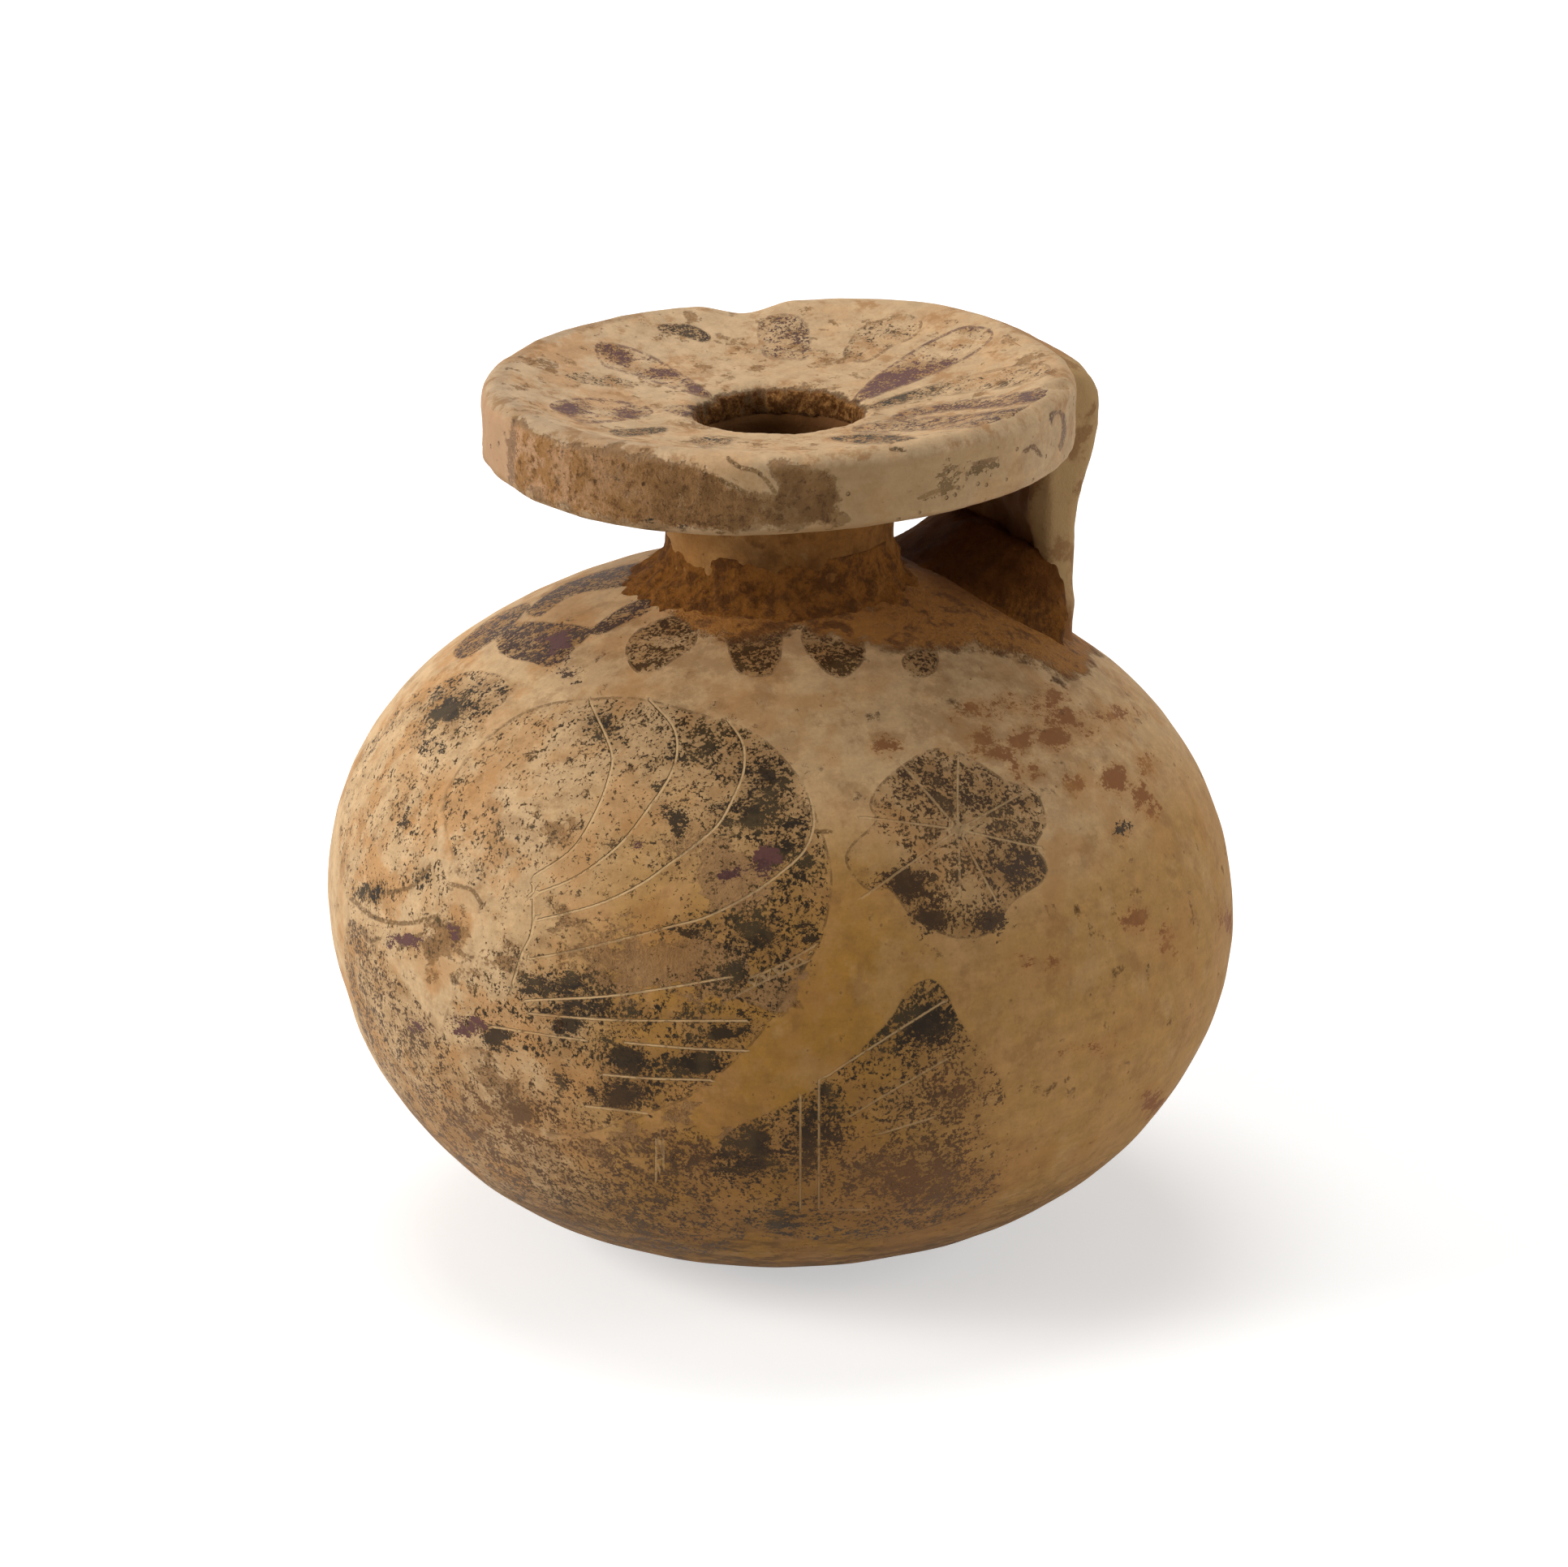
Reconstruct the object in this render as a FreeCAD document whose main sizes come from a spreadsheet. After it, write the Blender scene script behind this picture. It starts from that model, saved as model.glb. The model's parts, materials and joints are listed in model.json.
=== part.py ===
import FreeCAD, Part
import math
import os
import Sketcher
from FreeCAD import Placement, Rotation, Vector

# A round scent flask of fired clay: a thrown hollow body, a thrown neck and mouth plate, a pulled
# strap handle, and the clay that was pressed round each joint. Lengths are in millimetres.
# The origin is on the flask's axis at its resting face. +Z is up, and the handle stands towards +X.

DOC = FreeCAD.newDocument("flask")

# ---------------------------------------------------------------- driving dimensions

DIMENSIONS = [
    # body
    ("body_radius", 34.0, "widest radius of the body"),
    ("equator_height", 25.7, "height of the widest ring above the resting face"),
    ("side_low_radius", 24.9, "arc of the side below the widest ring"),
    ("bottom_radius", 48.1, "arc of the underside"),
    ("side_up_radius", 21.4, "arc of the side above the widest ring"),
    ("shoulder_radius", 40.7, "arc of the shoulder"),
    ("wall", 3.5, "thickness of the thrown wall"),
    ("floor_height", 4.0, "inside floor above the resting face"),
    # neck
    ("bore_radius", 6.0, "throat, from the cavity to the dished mouth"),
    ("neck_radius", 8.45, "outside of the neck"),
    ("neck_seat_height", 49.5, "floor of the rebate that takes the neck's foot"),
    ("neck_top_height", 61.4, "top of the neck, inside the plate's socket"),
    # mouth plate
    ("plate_radius", 22.0, "outside of the rim band, at its top"),
    ("band_foot_radius", 21.8, "outside of the rim band, at its foot"),
    ("plate_under_height", 60.2, "underside of the plate"),
    ("plate_top_height", 66.1, "crest of the rim"),
    ("band_foot_round", 0.8, "rounding between the underside and the band"),
    ("crest_round", 1.2, "rounding of the rim outside its crest"),
    ("crest_inner_round", 4.0, "rounding of the rim inside its crest"),
    ("dish_floor_height", 63.6, "lowest part of the dished top, at the hole"),
    ("lip_round", 1.5, "rounding of the hole's edge"),
    # strap handle
    ("strap_angle", 76.0, "turn of the strap's blank about the axis before it is cut, in degrees"),
    ("strap_inner_radius", 19.7, "inner face of the strap from the axis"),
    ("strap_waist_radius", 22.4, "outer face of the strap at its waist, from the axis"),
    ("strap_head_radius", 24.2, "outer face of the strap's head, from the axis"),
    ("strap_top_height", 65.9, "top of the strap's head"),
    ("strap_head_round", 1.5, "rounding of the head's outer edge"),
    ("strap_bulge_height", 63.0, "height at which the head starts to draw in"),
    ("strap_waist_height", 50.0, "height of the waist of both faces"),
    ("strap_end_height", 43.0, "lower end of the strap before its foot is fitted to the shoulder"),
    ("strap_end_inner", 18.0, "inner face there"),
    ("strap_end_outer", 24.0, "outer face there"),
    ("strap_waist_half", 7.8, "half the width at the narrowest part"),
    ("scallop_radius", 30.0, "arc of each long edge, seen from outside"),
    ("scallop_height", 54.2, "height of the narrowest part"),
    ("strap_edge_round", 0.9, "rounding of the long edges"),
    ("bedding", 0.6, "depth of the strap's foot in the shoulder"),
    # luting clay
    ("neck_foot_rise", 54.2, "top of the clay round the neck's foot"),
    ("neck_foot_hollow", 4.6, "hollow arc of its face"),
    ("neck_head_hollow", 1.7, "hollow arc of the clay under the plate, round the neck"),
    ("head_clay_hollow", 2.4, "hollow arc of the clay under the plate, along the strap"),
    ("head_clay_angle", 38.0, "turn that it takes, in degrees"),
    ("mound_reach", 20.5, "middle of the mound at the strap's foot, from the axis"),
    ("mound_low_height", -2.5, "lower section of the mound, sunk in the shoulder"),
    ("mound_low_inner", -9.0, "its edge up the slope"),
    ("mound_low_outer", 5.5, "its edge down the slope"),
    ("mound_low_half", 12.5, "half its width"),
    ("mound_low_round", 4.5, "rounding of its corners"),
    ("mound_top_height", 2.5, "upper section of the mound, above the shoulder"),
    ("mound_top_inner", -6.0, "its edge up the slope"),
    ("mound_top_outer", 2.0, "its edge down the slope"),
    ("mound_top_half", 9.4, "half its width"),
    ("mound_top_round", 1.6, "rounding of its corners"),
]


def make_sheet():
    """Put every driving dimension in the sheet under its own name."""
    sheet = DOC.addObject("Spreadsheet::Sheet", "sizes")
    for row, (alias, value, meaning) in enumerate(DIMENSIONS, start=1):
        sheet.set(f"A{row}", meaning)
        sheet.set(f"B{row}", str(value))
        sheet.setAlias(f"B{row}", alias)
    DOC.recompute()
    return sheet


make_sheet()
SIZE = {alias: value for alias, value, meaning in DIMENSIONS}

# The underside and the shoulder are arcs with their centres on the axis, each tangent to a side arc.
SHOULDER_CENTRE = (
    "sizes.equator_height - sqrt("
    "(sizes.shoulder_radius - sizes.side_up_radius)^2"
    " - (sizes.body_radius - sizes.side_up_radius)^2)"
)


def leg(long_side, short_side):
    """Third side of a right-angled triangle."""
    return math.sqrt(long_side ** 2 - short_side ** 2)


BOTTOM_CENTRE_Z = SIZE["equator_height"] + leg(
    SIZE["bottom_radius"] - SIZE["side_low_radius"],
    SIZE["body_radius"] - SIZE["side_low_radius"],
)
SHOULDER_CENTRE_Z = SIZE["equator_height"] - leg(
    SIZE["shoulder_radius"] - SIZE["side_up_radius"],
    SIZE["body_radius"] - SIZE["side_up_radius"],
)


def shoulder_z(radius, sink=0.0):
    """Height of the shoulder's surface, or of one sunk below it, at a distance from the axis."""
    return SHOULDER_CENTRE_Z + leg(SIZE["shoulder_radius"] - sink, radius)


# ---------------------------------------------------------------- drawing helpers

START, END, CENTRE = 1, 2, 3
ORIGIN = (-1, 1)
UPRIGHT_AXIS = -2
SAME_PLACE = 1e-6
LEAST_CUT = 1.0


def point(across, up):
    return Vector(across, up, 0)


def touch_point(big_centre, big_radius, small_centre):
    """Where a circle touches a bigger one from the inside."""
    reach = small_centre - big_centre
    return big_centre + reach * (big_radius / reach.Length)


def lower_meeting(one_centre, one_radius, other_centre, other_radius):
    """The crossing of two circles that lies further out and lower on the first."""
    apart = one_centre - other_centre
    gap = apart.Length
    along = (gap ** 2 + other_radius ** 2 - one_radius ** 2) / (2 * gap)
    aside = leg(other_radius, along)
    direction = apart * (1 / gap)
    return other_centre + direction * along + point(direction.y, -direction.x) * aside


class Outline:
    """A closed outline of lines and arcs in one sketch, with its sizes tied to the sheet."""

    def __init__(self, body, name, plane_role="XZ_Plane", lift=None):
        self.sketch = body.newObject("Sketcher::SketchObject", name)
        planes = {feature.Role: feature for feature in body.Origin.OriginFeatures}
        self.sketch.AttachmentSupport = [(planes[plane_role], "")]
        self.sketch.MapMode = "FlatFace"
        if lift:
            self.sketch.setExpression("AttachmentOffset.Base.z", lift)
        self.ends = {}
        self.smooth_pairs = set()

    def line(self, start, end):
        index = self.sketch.addGeometry(Part.LineSegment(start, end), False)
        self.ends[index] = {START: start, END: end}
        if abs(start.x - end.x) < SAME_PLACE:
            self.sketch.addConstraint(Sketcher.Constraint("Vertical", index))
        if abs(start.y - end.y) < SAME_PLACE:
            self.sketch.addConstraint(Sketcher.Constraint("Horizontal", index))
        return index

    def arc(self, centre, start, end):
        """Add an arc that turns counter-clockwise from start to end."""
        radius = (start - centre).Length
        first = math.atan2(start.y - centre.y, start.x - centre.x)
        last = math.atan2(end.y - centre.y, end.x - centre.x)
        if last < first:
            last += 2 * math.pi
        circle = Part.Circle(centre, Vector(0, 0, 1), radius)
        index = self.sketch.addGeometry(Part.ArcOfCircle(circle, first, last), False)
        self.ends[index] = {START: start, END: end}
        return index

    def shared(self, one, other):
        """Find the ends at which two edges meet."""
        for place, here in self.ends[one].items():
            for other_place, there in self.ends[other].items():
                if (here - there).Length < SAME_PLACE:
                    return place, other_place
        raise ValueError("edges %d and %d do not meet" % (one, other))

    def smooth(self, one, other):
        """Make two edges run into each other with no corner."""
        place, other_place = self.shared(one, other)
        self.sketch.addConstraint(Sketcher.Constraint("Tangent", one, place, other, other_place))
        self.smooth_pairs.add((min(one, other), max(one, other)))

    def close(self):
        """Join the ends that meet, so that the outline is closed."""
        edges = sorted(self.ends)
        for position, one in enumerate(edges):
            for other in edges[position + 1:]:
                if (one, other) in self.smooth_pairs:
                    continue
                for place, here in self.ends[one].items():
                    for other_place, there in self.ends[other].items():
                        if (here - there).Length < SAME_PLACE:
                            self.sketch.addConstraint(
                                Sketcher.Constraint("Coincident", one, place, other, other_place)
                            )

    def radius(self, index, expression):
        constraint = Sketcher.Constraint("Radius", index, self.sketch.Geometry[index].Radius)
        self.bind(constraint, expression)

    def across(self, index, place, expression):
        """Set how far a point lies from the axis."""
        reach = self.sketch.getPoint(index, place).x
        self.bind(Sketcher.Constraint("DistanceX", *ORIGIN, index, place, reach), expression)

    def up(self, index, place, expression):
        """Set how high a point lies."""
        height = self.sketch.getPoint(index, place).y
        self.bind(Sketcher.Constraint("DistanceY", *ORIGIN, index, place, height), expression)

    def on_axis(self, index, place):
        self.sketch.addConstraint(Sketcher.Constraint("PointOnObject", index, place, UPRIGHT_AXIS))

    def same_centre(self, one, other):
        self.sketch.addConstraint(Sketcher.Constraint("Coincident", one, CENTRE, other, CENTRE))

    def level(self, one, place, other, other_place):
        """Keep two points at one height."""
        self.sketch.addConstraint(Sketcher.Constraint("Horizontal", one, place, other, other_place))

    def plumb(self, one, place, other, other_place):
        """Keep two points one above the other."""
        self.sketch.addConstraint(Sketcher.Constraint("Vertical", one, place, other, other_place))

    def bind(self, constraint, expression):
        """Add a constraint whose size follows the sheet."""
        index = self.sketch.addConstraint(constraint)
        self.sketch.setExpression("Constraints[%d]" % index, expression)


def new_body(name):
    body = DOC.addObject("PartDesign::Body", name)
    body.Label = name
    return body


def turned(body, outline, angle=None):
    """Turn an outline about the flask's axis, all the way or through an angle centred on +X."""
    turn = body.newObject("PartDesign::Revolution", body.Name + "_turned")
    turn.Profile = outline.sketch
    turn.ReferenceAxis = (outline.sketch, ["V_Axis"])
    turn.Angle = 360
    if angle:
        turn.Midplane = True
        turn.setExpression("Angle", angle)
    outline.sketch.Visibility = False
    DOC.recompute()
    return turn


def less(name, base, tool):
    """Take one shape away from another."""
    cut = DOC.addObject("Part::Cut", name)
    cut.Label = name
    cut.Base = base
    cut.Tool = tool
    DOC.recompute()
    return cut


def shoulder_dome(name, sink=None):
    """Ball whose top is the shoulder, or lies a little below it."""
    ball = DOC.addObject("Part::Sphere", name)
    ball.setExpression("Radius", "sizes.shoulder_radius" + (" - " + sink if sink else ""))
    ball.setExpression("Placement.Base.z", SHOULDER_CENTRE)
    return ball


# ---------------------------------------------------------------- body


def make_body():
    """The thrown body: an even wall, a thicker floor, and a rebate for the neck."""
    body = new_body("body_thrown")
    outline = Outline(body, "body_outline")
    wall = SIZE["wall"]
    low_centre = point(SIZE["body_radius"] - SIZE["side_low_radius"], SIZE["equator_height"])
    up_centre = point(SIZE["body_radius"] - SIZE["side_up_radius"], SIZE["equator_height"])
    bottom_centre = point(0, BOTTOM_CENTRE_Z)
    shoulder_centre = point(0, SHOULDER_CENTRE_Z)

    # outside, from the flat underneath to the rebate
    flat_edge = point(leg(SIZE["bottom_radius"], BOTTOM_CENTRE_Z), 0)
    low_touch = touch_point(bottom_centre, SIZE["bottom_radius"], low_centre)
    widest = point(SIZE["body_radius"], SIZE["equator_height"])
    up_touch = touch_point(shoulder_centre, SIZE["shoulder_radius"], up_centre)
    rebate_edge = point(SIZE["neck_radius"], shoulder_z(SIZE["neck_radius"]))
    rebate_corner = point(SIZE["neck_radius"], SIZE["neck_seat_height"])
    throat_edge = point(SIZE["bore_radius"], SIZE["neck_seat_height"])
    flat = outline.line(point(0, 0), flat_edge)
    underside = outline.arc(bottom_centre, flat_edge, low_touch)
    side_low = outline.arc(low_centre, low_touch, widest)
    side_up = outline.arc(up_centre, widest, up_touch)
    shoulder = outline.arc(shoulder_centre, up_touch, rebate_edge)
    outline.line(rebate_edge, rebate_corner)
    seat = outline.line(rebate_corner, throat_edge)

    # inside, from the throat down to the floor
    inner_top = point(SIZE["bore_radius"], shoulder_z(SIZE["bore_radius"], wall))
    inner_up_touch = touch_point(shoulder_centre, SIZE["shoulder_radius"] - wall, up_centre)
    inner_widest = point(SIZE["body_radius"] - wall, SIZE["equator_height"])
    inner_low_touch = touch_point(bottom_centre, SIZE["bottom_radius"] - wall, low_centre)
    floor_reach = leg(SIZE["bottom_radius"] - wall, BOTTOM_CENTRE_Z - SIZE["floor_height"])
    floor_edge = point(floor_reach, SIZE["floor_height"])
    floor_middle = point(0, SIZE["floor_height"])
    outline.line(throat_edge, inner_top)
    inner_shoulder = outline.arc(shoulder_centre, inner_up_touch, inner_top)
    inner_up = outline.arc(up_centre, inner_widest, inner_up_touch)
    inner_low = outline.arc(low_centre, inner_low_touch, inner_widest)
    inner_underside = outline.arc(bottom_centre, floor_edge, inner_low_touch)
    floor = outline.line(floor_edge, floor_middle)
    outline.line(floor_middle, point(0, 0))

    for one, other in (
        (underside, side_low), (side_low, side_up), (side_up, shoulder),
        (inner_shoulder, inner_up), (inner_up, inner_low), (inner_low, inner_underside),
    ):
        outline.smooth(one, other)
    outline.close()
    outline.on_axis(underside, CENTRE)
    outline.on_axis(shoulder, CENTRE)
    outline.same_centre(underside, inner_underside)
    outline.same_centre(shoulder, inner_shoulder)
    outline.same_centre(side_low, inner_low)
    outline.same_centre(side_up, inner_up)
    outline.sketch.addConstraint(Sketcher.Constraint("Coincident", flat, START, *ORIGIN))
    outline.radius(underside, "sizes.bottom_radius")
    outline.radius(side_low, "sizes.side_low_radius")
    outline.radius(side_up, "sizes.side_up_radius")
    outline.radius(shoulder, "sizes.shoulder_radius")
    outline.radius(inner_underside, "sizes.bottom_radius - sizes.wall")
    outline.across(side_low, END, "sizes.body_radius")
    outline.up(side_low, END, "sizes.equator_height")
    outline.up(side_low, CENTRE, "sizes.equator_height")
    outline.across(seat, START, "sizes.neck_radius")
    outline.across(seat, END, "sizes.bore_radius")
    outline.up(seat, END, "sizes.neck_seat_height")
    outline.up(floor, END, "sizes.floor_height")
    turned(body, outline)
    return body


# ---------------------------------------------------------------- neck


def make_neck():
    """The thrown neck: a plain tube from the rebate in the shoulder to the socket in the plate."""
    body = new_body("neck")
    outline = Outline(body, "neck_outline")
    foot_inner = point(SIZE["bore_radius"], SIZE["neck_seat_height"])
    foot_outer = point(SIZE["neck_radius"], SIZE["neck_seat_height"])
    top_outer = point(SIZE["neck_radius"], SIZE["neck_top_height"])
    top_inner = point(SIZE["bore_radius"], SIZE["neck_top_height"])
    foot = outline.line(foot_inner, foot_outer)
    outline.line(foot_outer, top_outer)
    top = outline.line(top_outer, top_inner)
    outline.line(top_inner, foot_inner)
    outline.close()
    outline.across(foot, START, "sizes.bore_radius")
    outline.across(foot, END, "sizes.neck_radius")
    outline.up(foot, START, "sizes.neck_seat_height")
    outline.up(top, START, "sizes.neck_top_height")
    turned(body, outline)
    return body


# ---------------------------------------------------------------- mouth plate


def make_mouth_disc():
    """The thrown mouth plate: an upright band, a rounded crest and a top dished to the hole."""
    body = new_body("mouth_disc")
    outline = Outline(body, "mouth_disc_outline")
    under = SIZE["plate_under_height"]
    crest = SIZE["plate_radius"] - SIZE["crest_round"]
    lip_reach = SIZE["bore_radius"] + SIZE["lip_round"]

    # The dish starts level at the lip and runs into the inside of the crest, so the two radii add up.
    rise = SIZE["plate_top_height"] - SIZE["dish_floor_height"]
    run = crest - lip_reach
    radii = (run ** 2 + rise ** 2) / (2 * rise)
    dish_radius = radii - SIZE["crest_inner_round"]
    dish_centre = point(lip_reach, SIZE["dish_floor_height"] + dish_radius)
    crest_inner_centre = point(crest, SIZE["plate_top_height"] - SIZE["crest_inner_round"])
    dish_end = dish_centre + (crest_inner_centre - dish_centre) * (dish_radius / radii)

    socket_inner = point(SIZE["bore_radius"], SIZE["neck_top_height"])
    socket_corner = point(SIZE["neck_radius"], SIZE["neck_top_height"])
    socket_edge = point(SIZE["neck_radius"], under)
    under_edge = point(SIZE["band_foot_radius"] - SIZE["band_foot_round"], under)
    foot_centre = point(under_edge.x, under + SIZE["band_foot_round"])
    band_foot = point(SIZE["band_foot_radius"], foot_centre.y)
    crest_centre = point(crest, SIZE["plate_top_height"] - SIZE["crest_round"])
    band_top = point(SIZE["plate_radius"], crest_centre.y)
    crest_top = point(crest, SIZE["plate_top_height"])
    lip_top = point(lip_reach, SIZE["dish_floor_height"])
    lip_centre = point(lip_reach, SIZE["dish_floor_height"] - SIZE["lip_round"])
    lip_foot = point(SIZE["bore_radius"], lip_centre.y)

    socket_floor = outline.line(socket_inner, socket_corner)
    outline.line(socket_corner, socket_edge)
    underside = outline.line(socket_edge, under_edge)
    foot_arc = outline.arc(foot_centre, under_edge, band_foot)
    band = outline.line(band_foot, band_top)
    crest_arc = outline.arc(crest_centre, band_top, crest_top)
    crest_inner = outline.arc(crest_inner_centre, crest_top, dish_end)
    dish = outline.arc(dish_centre, lip_top, dish_end)
    lip = outline.arc(lip_centre, lip_top, lip_foot)
    throat = outline.line(lip_foot, socket_inner)

    for one, other in (
        (underside, foot_arc), (crest_arc, crest_inner), (crest_inner, dish),
        (dish, lip), (lip, throat),
    ):
        outline.smooth(one, other)
    outline.close()
    outline.level(foot_arc, CENTRE, foot_arc, END)
    outline.level(crest_arc, CENTRE, crest_arc, START)
    outline.plumb(crest_arc, CENTRE, crest_arc, END)
    outline.plumb(lip, CENTRE, lip, START)
    outline.across(socket_floor, START, "sizes.bore_radius")
    outline.across(socket_floor, END, "sizes.neck_radius")
    outline.up(socket_floor, END, "sizes.neck_top_height")
    outline.up(underside, START, "sizes.plate_under_height")
    outline.across(band, START, "sizes.band_foot_radius")
    outline.across(band, END, "sizes.plate_radius")
    outline.up(crest_arc, END, "sizes.plate_top_height")
    outline.up(dish, START, "sizes.dish_floor_height")
    outline.radius(foot_arc, "sizes.band_foot_round")
    outline.radius(crest_arc, "sizes.crest_round")
    outline.radius(crest_inner, "sizes.crest_inner_round")
    outline.radius(lip, "sizes.lip_round")
    turned(body, outline)
    return body


# ---------------------------------------------------------------- strap handle


def make_strap():
    """The pulled strap before it is fitted: bowed, full at its head and flared at its foot."""
    body = new_body("strap_pulled")
    outline = Outline(body, "strap_outline")
    inner, waist, head = (SIZE["strap_" + part + "_radius"] for part in ("inner", "waist", "head"))
    top, bulge_height = SIZE["strap_top_height"], SIZE["strap_bulge_height"]
    waist_height, end_height = SIZE["strap_waist_height"], SIZE["strap_end_height"]

    # Two like arcs, one full and one hollow, bring the outer face from the head in to the waist.
    drop = bulge_height - waist_height
    draw_in = head - waist
    swell = (drop ** 2 + draw_in ** 2) / (4 * draw_in)
    turn_point = point((head + waist) / 2, (bulge_height + waist_height) / 2)

    top_inner = point(inner, top)
    top_outer = point(head - SIZE["strap_head_round"], top)
    round_centre = point(top_outer.x, top - SIZE["strap_head_round"])
    head_top = point(head, round_centre.y)
    head_foot = point(head, bulge_height)
    waist_outer = point(waist, waist_height)
    end_outer = point(SIZE["strap_end_outer"], end_height)
    end_inner = point(SIZE["strap_end_inner"], end_height)
    waist_inner = point(inner, waist_height)

    def flare_radius(spread):
        return ((waist_height - end_height) ** 2 + spread ** 2) / (2 * spread)

    outer_flare_centre = point(waist + flare_radius(end_outer.x - waist), waist_height)
    inner_flare_centre = point(inner - flare_radius(inner - end_inner.x), waist_height)

    top_face = outline.line(top_inner, top_outer)
    head_arc = outline.arc(round_centre, head_top, top_outer)
    head_side = outline.line(head_top, head_foot)
    full = outline.arc(point(head - swell, bulge_height), turn_point, head_foot)
    hollow = outline.arc(point(waist + swell, waist_height), turn_point, waist_outer)
    outer_flare = outline.arc(outer_flare_centre, waist_outer, end_outer)
    end_face = outline.line(end_outer, end_inner)
    inner_flare = outline.arc(inner_flare_centre, end_inner, waist_inner)
    inner_side = outline.line(waist_inner, top_inner)

    for one, other in (
        (top_face, head_arc), (head_arc, head_side), (head_side, full), (full, hollow),
        (hollow, outer_flare), (inner_flare, inner_side),
    ):
        outline.smooth(one, other)
    outline.close()
    outline.level(outer_flare, CENTRE, outer_flare, START)
    outline.sketch.addConstraint(Sketcher.Constraint("Equal", full, hollow))
    outline.radius(head_arc, "sizes.strap_head_round")
    outline.up(top_face, START, "sizes.strap_top_height")
    outline.across(head_side, START, "sizes.strap_head_radius")
    outline.up(head_side, END, "sizes.strap_bulge_height")
    outline.across(outer_flare, START, "sizes.strap_waist_radius")
    outline.up(outer_flare, START, "sizes.strap_waist_height")
    outline.across(end_face, START, "sizes.strap_end_outer")
    outline.across(end_face, END, "sizes.strap_end_inner")
    outline.up(end_face, END, "sizes.strap_end_height")
    outline.across(inner_side, START, "sizes.strap_inner_radius")
    outline.up(inner_side, START, "sizes.strap_waist_height")
    bow = turned(body, outline, "sizes.strap_angle")

    # A scallop along each long edge gives the strap its waist.
    scallops = Outline(body, "strap_scallops", "YZ_Plane")
    for side in (1, -1):
        reach = side * (SIZE["strap_waist_half"] + SIZE["scallop_radius"])
        centre = point(reach, SIZE["scallop_height"])
        circle = Part.Circle(centre, Vector(0, 0, 1), SIZE["scallop_radius"])
        index = scallops.sketch.addGeometry(circle, False)
        scallops.radius(index, "sizes.scallop_radius")
        sign = "" if side > 0 else "-"
        scallops.across(index, CENTRE, sign + "(sizes.strap_waist_half + sizes.scallop_radius)")
        scallops.up(index, CENTRE, "sizes.scallop_height")
    waisted = body.newObject("PartDesign::Pocket", "strap_waisted")
    waisted.Profile = scallops.sketch
    waisted.Type = "ThroughAll"
    waisted.Reversed = True
    scallops.sketch.Visibility = False
    DOC.recompute()
    if bow.Shape.Volume - waisted.Shape.Volume < LEAST_CUT:
        raise RuntimeError("the scallops left the strap as it was")

    # The long edges run down both faces of the strap beside the scallops.
    long_edges = []
    for number, edge in enumerate(waisted.Shape.Edges, start=1):
        box = edge.BoundBox
        if box.ZLength > SIZE["strap_edge_round"] and box.YMin * box.YMax > 0:
            long_edges.append("Edge%d" % number)
    rounded = body.newObject("PartDesign::Fillet", "strap_rounded")
    rounded.Base = (waisted, long_edges)
    rounded.setExpression("Radius", "sizes.strap_edge_round")
    DOC.recompute()
    return body


def make_handle(strap, mouth_disc):
    """The strap as it is fitted: its head lapped on the rim, its foot bedded in the shoulder."""
    bed = shoulder_dome("bed_dome", "sizes.bedding")
    at_rim = less("strap_at_rim", strap, mouth_disc)
    return less("handle", at_rim, bed)


# ---------------------------------------------------------------- luting clay


def make_neck_foot_luting():
    """Clay pressed into the corner between the neck and the shoulder."""
    body = new_body("neck_foot_luting")
    outline = Outline(body, "neck_foot_luting_outline")
    shoulder_centre = point(0, SHOULDER_CENTRE_Z)
    hollow = SIZE["neck_foot_hollow"]
    hollow_centre = point(SIZE["neck_radius"] + hollow, SIZE["neck_foot_rise"])
    top = point(SIZE["neck_radius"], SIZE["neck_foot_rise"])
    corner = point(SIZE["neck_radius"], shoulder_z(SIZE["neck_radius"]))
    toe = lower_meeting(hollow_centre, hollow, shoulder_centre, SIZE["shoulder_radius"])
    face = outline.arc(hollow_centre, top, toe)
    bed = outline.arc(shoulder_centre, toe, corner)
    wall = outline.line(corner, top)
    outline.close()
    outline.level(face, CENTRE, face, START)
    outline.on_axis(bed, CENTRE)
    outline.up(bed, CENTRE, SHOULDER_CENTRE)
    outline.radius(bed, "sizes.shoulder_radius")
    outline.radius(face, "sizes.neck_foot_hollow")
    outline.across(wall, END, "sizes.neck_radius")
    outline.up(wall, END, "sizes.neck_foot_rise")
    turned(body, outline)
    return body


def make_corner_luting(name, wall_radius, hollow, inward, angle=None):
    """Clay with a hollow face in the corner between the plate's underside and an upright face."""
    body = new_body(name)
    outline = Outline(body, name + "_outline")
    under = SIZE["plate_under_height"]
    reach = -SIZE[hollow] if inward else SIZE[hollow]
    corner = point(SIZE[wall_radius], under)
    edge = point(corner.x + reach, under)
    foot = point(corner.x, under - SIZE[hollow])
    centre = point(edge.x, foot.y)
    top = outline.line(corner, edge)
    face = outline.arc(centre, foot, edge) if inward else outline.arc(centre, edge, foot)
    outline.line(foot, corner)
    outline.close()
    outline.plumb(face, CENTRE, top, END)
    outline.level(face, CENTRE, face, START if inward else END)
    outline.up(top, START, "sizes.plate_under_height")
    outline.across(top, START, "sizes." + wall_radius)
    outline.radius(face, "sizes." + hollow)
    turned(body, outline, angle)
    return body


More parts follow.
